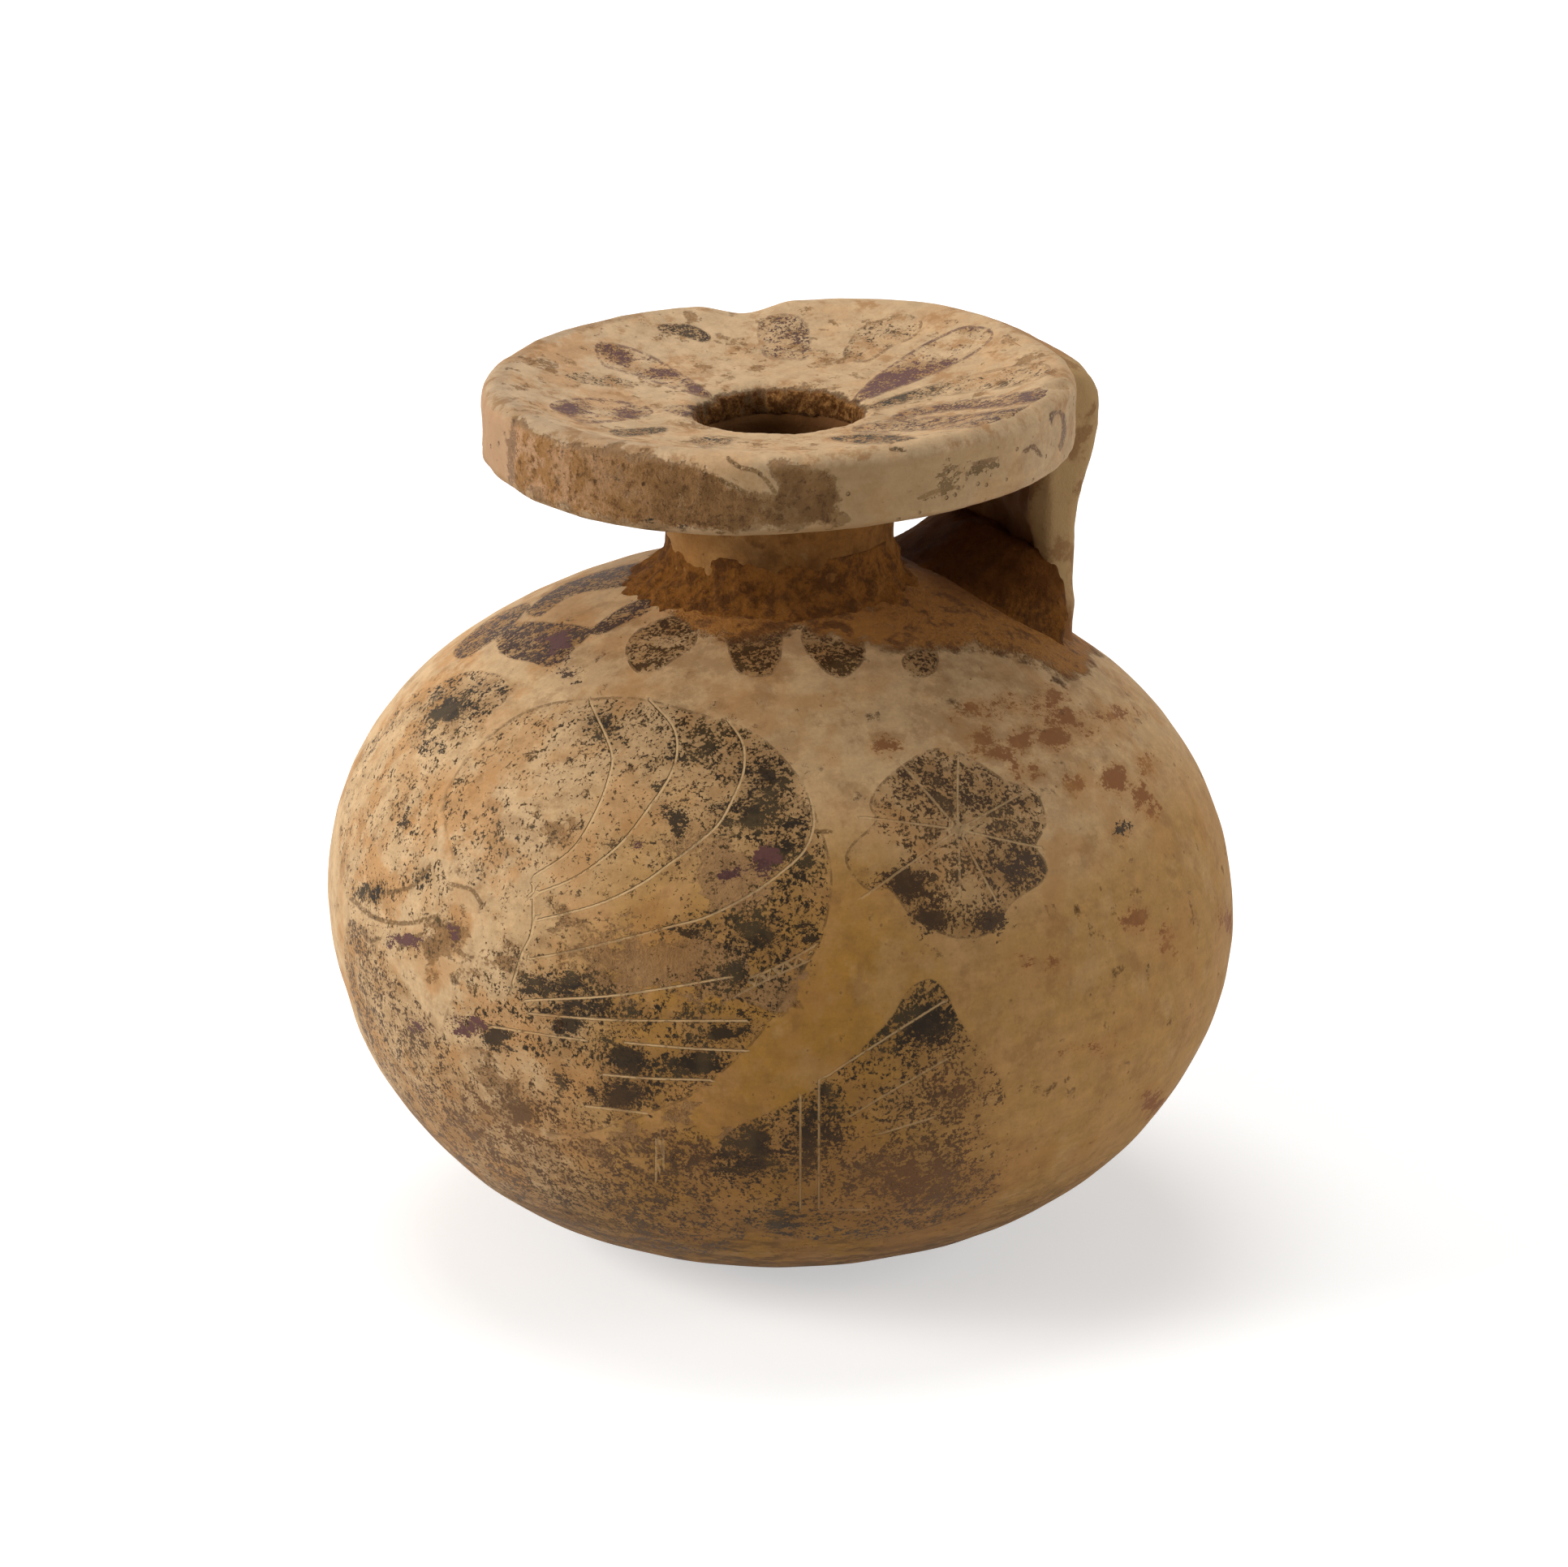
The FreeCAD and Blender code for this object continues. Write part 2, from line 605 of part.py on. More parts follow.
def mound_section(body, level_name):
    """One level section of the mound: an oblong with rounded corners."""
    prefix = "mound_" + level_name + "_"
    near, far, half, rounding = (SIZE[prefix + part] for part in ("inner", "outer", "half", "round"))
    section = Outline(body, prefix + "section", "XY_Plane", "sizes." + prefix + "height")
    corners = [point(far, -half), point(far, half), point(near, half), point(near, -half)]
    ways = [point(0, 1), point(-1, 0), point(0, -1), point(1, 0)]
    turns = []
    sides = []
    for corner, way_in, way_out, next_corner in zip(
        corners, ways[-1:] + ways[:-1], ways, corners[1:] + corners[:1]
    ):
        turn_start = corner - way_in * rounding
        turn_end = corner + way_out * rounding
        turns.append(section.arc(turn_start + way_out * rounding, turn_start, turn_end))
        sides.append(section.line(turn_end, next_corner - way_out * rounding))
    for number, side in enumerate(sides):
        section.smooth(turns[number], side)
        section.smooth(side, turns[(number + 1) % len(turns)])
    for turn in turns[1:]:
        section.sketch.addConstraint(Sketcher.Constraint("Equal", turns[0], turn))
    outer, back, inner, front = sides
    section.radius(turns[0], "sizes." + prefix + "round")
    section.across(outer, START, "sizes." + prefix + "outer")
    section.across(inner, START, "sizes." + prefix + "inner")
    section.up(back, START, "sizes." + prefix + "half")
    section.up(front, START, "-sizes." + prefix + "half")
    return section


def make_handle_foot_luting(handle):
    """The mound of clay pressed round the strap's foot: drawn level, then laid on the shoulder."""
    body = new_body("mound_pressed")
    low = mound_section(body, "low")
    high = mound_section(body, "top")
    DOC.recompute()
    loft = body.newObject("PartDesign::AdditiveLoft", "mound_loft")
    loft.Profile = low.sketch
    loft.Sections = [high.sketch]
    low.sketch.Visibility = False
    high.sketch.Visibility = False
    DOC.recompute()
    slope = math.degrees(math.asin(SIZE["mound_reach"] / SIZE["shoulder_radius"]))
    body.Placement = Placement(Vector(0, 0, 0), Rotation(Vector(0, 1, 0), slope))
    body.setExpression("Placement.Rotation.Angle", "asin(sizes.mound_reach / sizes.shoulder_radius)")
    body.setExpression("Placement.Base.x", "sizes.mound_reach")
    reach_height = "sqrt(sizes.shoulder_radius^2 - sizes.mound_reach^2)"
    body.setExpression("Placement.Base.z", SHOULDER_CENTRE + " + " + reach_height)
    DOC.recompute()
    on_shoulder = less("mound_on_shoulder", body, shoulder_dome("mound_dome"))
    return less("handle_foot_luting", on_shoulder, handle)


# ---------------------------------------------------------------- the assembled flask


def build_flask():
    """Make every piece and fit them to each other, in the order in which a potter would."""
    thrown = make_body()
    neck = make_neck()
    mouth_disc = make_mouth_disc()
    handle = make_handle(make_strap(), mouth_disc)
    head_clay = ("strap_inner_radius", "head_clay_hollow", True, "sizes.head_clay_angle")
    return [
        less("body", thrown, handle),
        neck,
        mouth_disc,
        handle,
        make_neck_foot_luting(),
        make_corner_luting("neck_head_luting", "neck_radius", "neck_head_hollow", False),
        make_handle_foot_luting(handle),
        make_corner_luting("handle_head_luting", *head_clay),
    ]


def check_document():
    """Stop if any object failed to build."""
    DOC.recompute()
    for item in DOC.Objects:
        for fault in ("Invalid", "Error"):
            if fault in item.State:
                raise RuntimeError("%s is %s" % (item.Name, item.State))


def write_pieces(pieces):
    """Check each piece and write it to a file of its own name."""
    os.makedirs("parts", exist_ok=True)
    for piece in pieces:
        shape = piece.Shape
        if shape.isNull() or not shape.isValid() or len(shape.Solids) != 1:
            raise RuntimeError("%s isn't one sound solid" % piece.Label)
        shape.exportStep(os.path.join("parts", piece.Label + ".step"))
        box = shape.optimalBoundingBox()
        print(
            "%-20s %9.1f mm3  x %6.2f..%6.2f  y %6.2f..%6.2f  z %6.2f..%6.2f"
            % (piece.Label, shape.Volume, box.XMin, box.XMax, box.YMin, box.YMax, box.ZMin, box.ZMax)
        )


flask = build_flask()
check_document()
write_pieces(flask)
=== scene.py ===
# %% [markdown]
# # A small clay scent flask, dressed on its measured frame
#
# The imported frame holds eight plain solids: a hollow body, a neck, a dished mouth plate, a strap
# handle, and the clay pressed round each joint. This script gives every one of them the surface of
# the fired, painted and worn flask. It works in millimetres and turns them into Blender's metres
# in one place, so that every number below can be read against a ruler.

# %% Load the frame
import functools
import json
import math

import bmesh
import bpy
import numpy as np
from mathutils import Euler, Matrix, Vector, noise

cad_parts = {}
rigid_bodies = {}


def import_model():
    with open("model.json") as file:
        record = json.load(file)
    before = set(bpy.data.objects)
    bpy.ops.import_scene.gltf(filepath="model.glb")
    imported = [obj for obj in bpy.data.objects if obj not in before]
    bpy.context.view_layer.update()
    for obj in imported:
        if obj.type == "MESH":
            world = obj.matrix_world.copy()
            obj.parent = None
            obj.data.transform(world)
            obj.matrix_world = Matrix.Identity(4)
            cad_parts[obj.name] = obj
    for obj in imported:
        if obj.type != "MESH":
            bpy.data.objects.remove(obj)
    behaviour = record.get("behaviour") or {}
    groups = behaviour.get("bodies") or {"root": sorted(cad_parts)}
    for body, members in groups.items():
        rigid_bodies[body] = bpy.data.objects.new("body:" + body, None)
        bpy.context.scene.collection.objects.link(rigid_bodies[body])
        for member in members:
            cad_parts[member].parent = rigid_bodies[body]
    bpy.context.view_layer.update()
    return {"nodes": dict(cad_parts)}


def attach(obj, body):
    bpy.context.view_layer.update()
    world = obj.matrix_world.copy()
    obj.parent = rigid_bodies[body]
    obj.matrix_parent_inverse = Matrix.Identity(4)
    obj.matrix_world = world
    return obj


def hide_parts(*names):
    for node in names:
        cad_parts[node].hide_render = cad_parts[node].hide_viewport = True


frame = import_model()
MM = 0.001
print("frame pieces:", sorted(frame["nodes"]))

# %% [markdown]
# ## The camera
#
# The photograph was taken from far off with a long lens, a little above the shoulder. The handle
# stands 30 degrees behind the camera's right-hand side. Two directions on the floor are used again
# and again below: to the camera's right, and away from it. They are worked out once here, together
# with the way from any point of the flask to its place in the picture.

# %% Camera
PHOTO_SIZE = (1932, 1931)
VIEW_TURN = math.radians(30.0)
VIEW_LIFT = math.radians(18.4)
CAMERA_REACH = 580.0
LENS = 177.3
SENSOR = 36.0
AIM_HEIGHT = 34.3
AIM_ASIDE = 0.35

RIGHTWARD = np.array([math.cos(VIEW_TURN), -math.sin(VIEW_TURN), 0.0])
AWAY = np.array([math.sin(VIEW_TURN), math.cos(VIEW_TURN), 0.0])
UPRIGHT = np.array([0.0, 0.0, 1.0])
LOOK = AWAY * math.cos(VIEW_LIFT) - UPRIGHT * math.sin(VIEW_LIFT)
PICTURE_UP = AWAY * math.sin(VIEW_LIFT) + UPRIGHT * math.cos(VIEW_LIFT)
AIM = UPRIGHT * AIM_HEIGHT + RIGHTWARD * AIM_ASIDE
EYE = AIM - LOOK * CAMERA_REACH
FOCAL = LENS / SENSOR * PHOTO_SIZE[0]

camera_data = bpy.data.cameras.new("camera")
camera_data.lens = LENS
camera_data.sensor_width = SENSOR
camera_data.clip_start = 0.05
camera_data.clip_end = 20.0
camera = bpy.data.objects.new("camera", camera_data)
camera.location = Vector(EYE * MM)
camera.rotation_euler = Euler((math.pi / 2 - VIEW_LIFT, 0.0, -VIEW_TURN))
bpy.context.scene.collection.objects.link(camera)
bpy.context.scene.camera = camera


def in_picture(points):
    """Where points of the flask, in millimetres, come in the picture, in its pixels."""
    away = np.asarray(points, float) - EYE
    depth = away @ LOOK
    across = PHOTO_SIZE[0] / 2 + FOCAL * (away @ RIGHTWARD) / depth
    down = PHOTO_SIZE[1] / 2 - FOCAL * (away @ PICTURE_UP) / depth
    return np.stack([across, down], axis=-1)


print("the middle of the foot comes at", in_picture([0.0, 0.0, 0.0]).round(1))

# %% [markdown]
# ## Shader arithmetic
#
# The finishes and the lathe are built from nodes. To keep them readable, one small class lets a
# node's socket be used in ordinary arithmetic, so that `1 - mask` adds the right Math node. The
# finishes are measured in millimetres on the flask itself, from its Object coordinates, so that
# nothing slides when the camera moves.

# %% Shader maths
CLAY_GLOSS = 0.14
SEED_SHIFT = (3.17, -5.31, 7.73)


class Shade:
    """A number in a node tree. Arithmetic on it adds Math nodes."""

    def __init__(self, graph, socket):
        self.graph = graph
        self.socket = socket

    def maths(self, operation, first, second=0.0):
        node = self.graph.node("ShaderNodeMath", {"operation": operation}, {0: first, 1: second})
        return Shade(self.graph, node.outputs[0])

    def __add__(self, other):
        return self.maths("ADD", self, other)

    __radd__ = __add__

    def __sub__(self, other):
        return self.maths("SUBTRACT", self, other)

    def __rsub__(self, other):
        return self.maths("SUBTRACT", other, self)

    def __mul__(self, other):
        return self.maths("MULTIPLY", self, other)

    __rmul__ = __mul__

    def __abs__(self):
        return self.maths("ABSOLUTE", self)

    def at_least(self, other):
        return self.maths("MAXIMUM", self, other)

    def at_most(self, other):
        return self.maths("MINIMUM", self, other)

    def through(self, operation):
        """The number put through a function of one number, such as SINE or SQRT."""
        return self.maths(operation, self)


class Graph:
    """Adds nodes to a node tree."""

    def __init__(self, tree):
        self.tree = tree
        tree.nodes.clear()

    def node(self, kind, settings=None, values=None):
        """Add a node: its type, its settings, then the values or links of its sockets."""
        node = self.tree.nodes.new(kind)
        for name, value in (settings or {}).items():
            setattr(node, name, value)
        for name, value in (values or {}).items():
            value = getattr(value, "socket", value)
            if isinstance(value, bpy.types.NodeSocket):
                self.tree.links.new(value, node.inputs[name])
            else:
                node.inputs[name].default_value = value
        return node

    def apart(self, vector):
        """The three numbers of a vector."""
        node = self.node("ShaderNodeSeparateXYZ", None, {0: vector})
        return [Shade(self, socket) for socket in node.outputs]


class Paint(Graph):
    """Builds the nodes of one finish."""

    @functools.cached_property
    def place(self):
        """The place on the piece itself, in millimetres."""
        return self.scaled(self.node("ShaderNodeTexCoord").outputs["Object"], 1 / MM)

    def from_axis(self):
        """How far the place lies from the axis, in millimetres."""
        across, along, _ = self.apart(self.place)
        return (across * across + along * along).through("SQRT")

    def rightward(self):
        """How far the place lies to the camera's right, in millimetres."""
        across, along, _ = self.apart(self.place)
        return across * float(RIGHTWARD[0]) + along * float(RIGHTWARD[1])

    def kept(self, name):
        """The three numbers that an attribute of the mesh holds."""
        return self.apart(self.node("ShaderNodeAttribute", {"attribute_name": name}).outputs["Vector"])

    def moved(self, size, seed):
        """Coordinates in units of a size in millimetres, or of one size for each direction."""
        sizes = size if isinstance(size, tuple) else (size, size, size)
        shift = [seed * s for s in SEED_SHIFT]
        values = {"Vector": self.place, "Scale": [1 / s for s in sizes], "Location": shift}
        return self.node("ShaderNodeMapping", None, values).outputs[0]

    def noise(self, size, detail, rough, seed):
        values = {"Vector": self.moved(size, seed), "Scale": 1.0, "Detail": detail, "Roughness": rough}
        return Shade(self, self.node("ShaderNodeTexNoise", None, values).outputs[0])

    def specks(self, size, share, radius, seed):
        """Small round specks: one in each cell, kept in a share of the cells only."""
        values = {"Vector": self.moved(size, seed), "Scale": 1.0, "Randomness": 1.0}
        cells = self.node("ShaderNodeTexVoronoi", None, values).outputs
        chance = self.apart(cells["Color"])[0]
        spot = self.step(Shade(self, cells["Distance"]), radius / size, radius / size * 0.4)
        return spot * self.step(chance, share, share * 0.9)

    def step(self, value, low, high):
        """A smooth step from 0 at low to 1 at high, which also runs downwards."""
        values = {"Value": value, "From Min": low, "From Max": high}
        settings = {"interpolation_type": "SMOOTHSTEP"}
        return Shade(self, self.node("ShaderNodeMapRange", settings, values).outputs[0])

    def torn(self, value, tearing, reach, low, high):
        """A smooth step whose place is moved to and fro by a noise."""
        return self.step(value + (tearing - 0.5) * reach, low, high)

    def mix(self, first, second, share):
        """Mix two colours by a share from 0 to 1."""
        first, second = ((*c, 1.0) if isinstance(c, tuple) else c for c in (first, second))
        values = {0: share, 6: first, 7: second}
        return self.node("ShaderNodeMix", {"data_type": "RGBA"}, values).outputs[2]

    def scaled(self, colour, factor):
        """A colour or a vector made larger or smaller by a factor."""
        values = {0: colour, "Scale": factor}
        return self.node("ShaderNodeVectorMath", {"operation": "SCALE"}, values).outputs[0]

    def finish(self, colour, roughness, height):
        """End the finish with a shader, and a bump whose height is in millimetres."""
        bump = self.node("ShaderNodeBump", None, {"Strength": 1.0, "Distance": MM, "Height": height})
        values = {"Base Color": colour, "Roughness": roughness, "Normal": bump.outputs[0]}
        shader = self.node("ShaderNodeBsdfPrincipled", None, values | {"Specular IOR Level": CLAY_GLOSS})
        self.node("ShaderNodeOutputMaterial", None, {"Surface": shader.outputs[0]})
        print("a finish of", len(self.tree.nodes), "nodes")


print("one class for numbers, one for node trees and one for finishes")

# %% [markdown]
# ## Floor, sky and lamps
#
# The flask stands in a white studio, lit softly from the left, with a little light from above and
# from the right. White paper under it would need a good deal of light to come out white, and the
# pale clay would then burn out. So the lamps are set for the clay alone. The floor glows a little
# for rays that come straight from the camera, enough to turn the lit part of it white, and keeps
# the flask's shadow. Beyond the lamps' reach it glows as much as the sky, so that no horizon shows.
# The sky is white to the same rays and a dim grey for the light that falls.

# %% Lamps
def camera_place(right, away, up):
    """A point given by how far it lies to the camera's right, away from it and up."""
    return RIGHTWARD * right + AWAY * away + UPRIGHT * up


def lamp(name, place, size, watts, colour):
    """A square lamp at a place in millimetres that looks at the flask's middle."""
    data = bpy.data.lights.new(name, "AREA")
    data.size = size * MM
    data.energy = watts
    data.color = colour
    item = bpy.data.objects.new(name, data)
    item.location = Vector(place) * MM
    towards = Vector(AIM * MM) - item.location
    item.rotation_euler = towards.to_track_quat("-Z", "Y").to_euler()
    bpy.context.scene.collection.objects.link(item)
    print(name, "stands", round(towards.length / MM), "mm away")


lamp("key_lamp", camera_place(-565, -150, 285), 300, 3.55, (1.0, 0.985, 0.96))
lamp("top_lamp", camera_place(-60, 160, 620), 420, 2.2, (1.0, 0.99, 0.975))
lamp("right_lamp", camera_place(540, -120, 200), 320, 1.1, (1.0, 0.985, 0.96))

# %% Floor and sky
FLOOR_REACH = 3.0
FLOOR_PALE = 0.72
FLOOR_LIFT = 0.5
FLOOR_FADE = (150.0, 450.0)
SKY_GREY = 0.16


def seen_directly(paint):
    """1 for rays from the camera, from gloss and through glass, and 0 for all others."""
    path = paint.node("ShaderNodeLightPath")
    seen = Shade(paint, path.outputs["Is Camera Ray"])
    for kind in ("Is Glossy Ray", "Is Transmission Ray"):
        seen = seen.at_least(Shade(paint, path.outputs[kind]))
    return seen


floor_material = bpy.data.materials.new("pale_floor")
floor_material.use_nodes = True
floor_paint = Paint(floor_material.node_tree)
from_flask = floor_paint.from_axis()
glow = FLOOR_LIFT + floor_paint.step(from_flask, *FLOOR_FADE) * (1 - FLOOR_LIFT)
floor_shader = floor_paint.node(
    "ShaderNodeBsdfPrincipled", None,
    {"Base Color": (FLOOR_PALE, FLOOR_PALE, FLOOR_PALE, 1), "Roughness": 1.0, "Specular IOR Level": 0.0,
     "Emission Strength": 1.0, "Emission Color": seen_directly(floor_paint) * glow},
)
floor_paint.node("ShaderNodeOutputMaterial", None, {"Surface": floor_shader.outputs[0]})

floor_mesh = bpy.data.meshes.new("floor")
corners = [(x * FLOOR_REACH, y * FLOOR_REACH, 0) for x, y in ((-1, -1), (1, -1), (1, 1), (-1, 1))]
floor_mesh.from_pydata(corners, [], [(0, 1, 2, 3)])
floor_mesh.materials.append(floor_material)
floor = bpy.data.objects.new("floor", floor_mesh)
bpy.context.scene.collection.objects.link(floor)

sky = bpy.data.worlds.new("sky")
bpy.context.scene.world = sky
sky.use_nodes = True
sky_paint = Paint(sky.node_tree)
sky_strength = seen_directly(sky_paint) * (1 - SKY_GREY) + SKY_GREY
backdrop = sky_paint.node("ShaderNodeBackground", None, {"Color": (1, 1, 1, 1), "Strength": sky_strength})
sky_paint.node("ShaderNodeOutputWorld", None, {"Surface": backdrop.outputs[0]})
bpy.context.scene.view_settings.view_transform = "Standard"
print("floor", FLOOR_REACH * 2, "m wide, sky", SKY_GREY, "for light and 1 for the camera")

# %% [markdown]
# ## Names for the clays
#
# Six finishes cover the eight pieces. They are made here as empty materials, so that the meshes can
# carry them from the start, and get their nodes at the end.

# %% Empty finishes
def plain_material(name):
    material = bpy.data.materials.new(name)
    material.use_nodes = True
    return material


CLAYS = {
    name: plain_material(name)
    for name in ("slipped_clay", "rim_clay", "neck_clay", "crusted_clay", "luting_clay", "strap_clay")
}
print("finishes to come:", ", ".join(CLAYS))

# %% [markdown]
# ## Outlines that are turned
#
# A potter makes the body, neck and plate by turning, so each is drawn here as one outline in the
# plane of the axis: a list of (distance from the axis, height). Straight runs and arcs are cut into
# short steps, and the same radii are used as in the frame's solids.

# %% Outline helpers
BODY_RADIUS = 34.0
EQUATOR = 25.7
SIDE_LOW_RADIUS = 24.9
BOTTOM_RADIUS = 48.1
SIDE_UP_RADIUS = 21.4
SHOULDER_RADIUS = 40.7
WALL = 3.5
FLOOR_HEIGHT = 4.0
THROAT = 6.0
NECK_RADIUS = 8.45
NECK_SEAT = 49.5
NECK_TOP = 61.4


def leg(long_side, short_side):
    """Third side of a right-angled triangle."""
    return math.sqrt(long_side ** 2 - short_side ** 2)


def angle_to(centre, place):
    """The way from a centre to a place, in degrees from the outward direction."""
    return math.degrees(math.atan2(place[1] - centre[1], place[0] - centre[0]))


class Pen:
    """Draws an outline in short steps. Each stretch starts where the last one ended."""

    def __init__(self, *start):
        self.places = [start]

    def run(self, step, *ends):
        """Straight runs, to one place after another."""
        for end in ends:
            start = np.array(self.places[-1])
            count = max(1, round(math.dist(start, end) / step))
            self.places += [tuple(start + (end - start) * k / count) for k in range(1, count + 1)]
        return self

    def arc(self, step, centre, end):
        """An arc round a centre, to an angle in degrees."""
        start = angle_to(centre, self.places[-1])
        radius = math.dist(centre, self.places[-1])
        count = max(2, round(abs(math.radians(end - start)) * radius / step))
        for a in np.radians(np.linspace(start, end, count + 1))[1:]:
            self.places.append((centre[0] + radius * math.cos(a), centre[1] + radius * math.sin(a)))
        return self


LOW_CENTRE = (BODY_RADIUS - SIDE_LOW_RADIUS, EQUATOR)
UP_CENTRE = (BODY_RADIUS - SIDE_UP_RADIUS, EQUATOR)
BOTTOM_CENTRE = (0.0, EQUATOR + leg(BOTTOM_RADIUS - SIDE_LOW_RADIUS, LOW_CENTRE[0]))
SHOULDER_CENTRE = (0.0, EQUATOR - leg(SHOULDER_RADIUS - SIDE_UP_RADIUS, UP_CENTRE[0]))
LOW_TURN = angle_to(BOTTOM_CENTRE, LOW_CENTRE)
UP_TURN = angle_to(SHOULDER_CENTRE, UP_CENTRE)


def shoulder_height(radius, sink=0.0):
    """Height of the shoulder's surface at a distance from the axis."""
    return SHOULDER_CENTRE[1] + leg(SHOULDER_RADIUS - sink, radius)


print("shoulder at the neck:", round(shoulder_height(NECK_RADIUS), 2), "mm")

# %% [markdown]
# ## A lathe in Geometry Nodes
#
# Five pieces follow one rule, an outline turned about the axis, so one node tree makes them all. A
# grid has one row of points for each point of the outline and one column for each step of the turn.
# Every grid point looks up its outline point by row, and its angle by column. The columns can be
# crowded towards one side: the painted front needs finer faces than the back. Turning a curve with
# the Screw modifier would also work, but it can't crowd its steps.

# %% The lathe
FRONT_AZIMUTH = math.atan2(-AWAY[1], -AWAY[0])
TOUCHING = 1e-6


def make_lathe():
    """The node tree of the lathe, and the identifiers of its inputs by name."""
    tree = bpy.data.node_groups.new("lathe", "GeometryNodeTree")
    kinds = {"Outline": "Geometry", "Outline Points": "Int", "Turn Steps": "Int", "Front Crowding": "Float",
             "Front Azimuth": "Float", "Clay": "Material"}
    inputs = {
        name: tree.interface.new_socket(name, in_out="INPUT", socket_type="NodeSocket" + kind).identifier
        for name, kind in kinds.items()
    }
    tree.interface.new_socket("Geometry", in_out="OUTPUT", socket_type="NodeSocketGeometry")
    lathe = Graph(tree)
    given = lathe.node("NodeGroupInput").outputs
    rows, steps, crowding, front = (Shade(lathe, given[name]) for name in list(kinds)[1:5])
    size = {"Size X": 1.0, "Size Y": 1.0, "Vertices X": steps + 1.0, "Vertices Y": rows}
    made = lathe.node("GeometryNodeMeshGrid", None, size)
    place = lathe.node("GeometryNodeInputPosition").outputs[0]
    side, level, _ = lathe.apart(place)
    turn = side * (2 * math.pi)
    angle = turn - turn.through("SINE") * crowding + front
    row = ((level + 0.5) * (rows - 1.0)).through("ROUND")
    looked_up = {"Geometry": given["Outline"], "Value": place, "Index": row}
    found = lathe.node("GeometryNodeSampleIndex", {"data_type": "FLOAT_VECTOR", "domain": "POINT"}, looked_up)
    radius, _, height = lathe.apart(found.outputs[0])
    turned = {"X": radius * angle.through("COSINE"), "Y": radius * angle.through("SINE"), "Z": height}
    turned = lathe.node("ShaderNodeCombineXYZ", None, turned).outputs[0]
    for kind, values in (
        ("GeometryNodeSetPosition", {"Position": turned}),
        ("GeometryNodeMergeByDistance", {"Distance": TOUCHING}),
        ("GeometryNodeRealizeInstances", {}),
        ("GeometryNodeSetMaterial", {"Material": given["Clay"]}),
        ("NodeGroupOutput", {}),
    ):
        made = lathe.node(kind, None, {0: made.outputs[0]} | values)
    return tree, inputs


LATHE, LATHE_INPUTS = make_lathe()


def outward_faces(mesh):
    """Make the faces of a closed mesh point outwards, and count its open edges."""
    shape = bmesh.new()
    shape.from_mesh(mesh)
    bmesh.ops.remove_doubles(shape, verts=shape.verts, dist=TOUCHING / 10)
    bmesh.ops.recalc_face_normals(shape, faces=shape.faces)
    if shape.calc_volume(signed=True) < 0:
        bmesh.ops.reverse_faces(shape, faces=shape.faces)
    loose = [edge for edge in shape.edges if not edge.is_manifold]
    shape.to_mesh(mesh)
    shape.free()
    return len(loose)


def turned_mesh(name, outline, columns, clay, crowding=0.0):
    """Turn an outline on the lathe and return the plain mesh, in metres."""
    source = bpy.data.meshes.new(name + "_outline")
    source.from_pydata([(r * MM, 0, z * MM) for r, z in outline], [], [])
    stand = bpy.data.objects.new(name + "_stand", source)
    bpy.context.scene.collection.objects.link(stand)
    modifier = stand.modifiers.new("lathe", "NODES")
    modifier.node_group = LATHE
    sizes = {"Outline Points": len(outline), "Turn Steps": columns, "Front Crowding": crowding,
             "Front Azimuth": FRONT_AZIMUTH, "Clay": CLAYS[clay]}
    for socket, value in sizes.items():
        modifier[LATHE_INPUTS[socket]] = value
    graph = bpy.context.evaluated_depsgraph_get()
    mesh = bpy.data.meshes.new_from_object(stand.evaluated_get(graph))
    mesh.name = name
    stand.modifiers.remove(modifier)
    bpy.data.objects.remove(stand)
    print(name, "outline points:", len(outline), "open edges:", outward_faces(mesh))
    return mesh

# %% [markdown]
# ## Reading and moving a mesh's points
#
# The real flask isn't quite round. Its upper wall leans towards the camera's left, the plate is
# rolled and uneven, and its rim is chipped at the back. All pieces are moved by one function of
# place, so that pieces that touch on the frame still touch here. A sculpted mesh would hide the
# numbers, and a lattice modifier can't follow a table of measured radii.

# %% Settling
TINY = 1e-6


def points_of(mesh, kind="co", unit=MM):
    """The mesh's points in millimetres, one row each, or its normals in units of 1."""
    flat = np.empty(len(mesh.vertices) * 3)
    mesh.vertices.foreach_get(kind, flat)
    return flat.reshape(-1, 3) / unit


def reach_of(points):
    """How far points lie from the axis."""
    return np.hypot(points[:, 0], points[:, 1])


def ease(low, high, value):
    """A smooth step from 0 at low to 1 at high, which also runs downwards."""
    t = np.clip((np.asarray(value, float) - low) / (high - low), 0.0, 1.0)
    return t * t * (3.0 - 2.0 * t)


def bulge(value, middle, half_width):
    """A smooth hump of height 1."""
    return ease(half_width, 0.0, np.abs(value - middle))


def noise_at(points, scale, seed, detail=3):
    """Soft fractal noise, about -1 to 1, with features of a given size in millimetres."""
    aside = Vector((seed * 17.3, seed * -9.1, seed * 5.7))
    return np.array([noise.fractal(Vector(p) / scale + aside, 1.0, 2.0, detail) for p in points])


# Aside movement of the wall to the camera's right, by height.
LEAN_HEIGHTS = [8.0, 20.0, 26.0, 32.0, 38.5, 45.0, 50.0, 53.0]
LEAN_ASIDE = [0.35, 0.35, 0.05, -0.26, -0.5, -1.0, -0.6, 0.0]
LEAN_FADE = 2.5

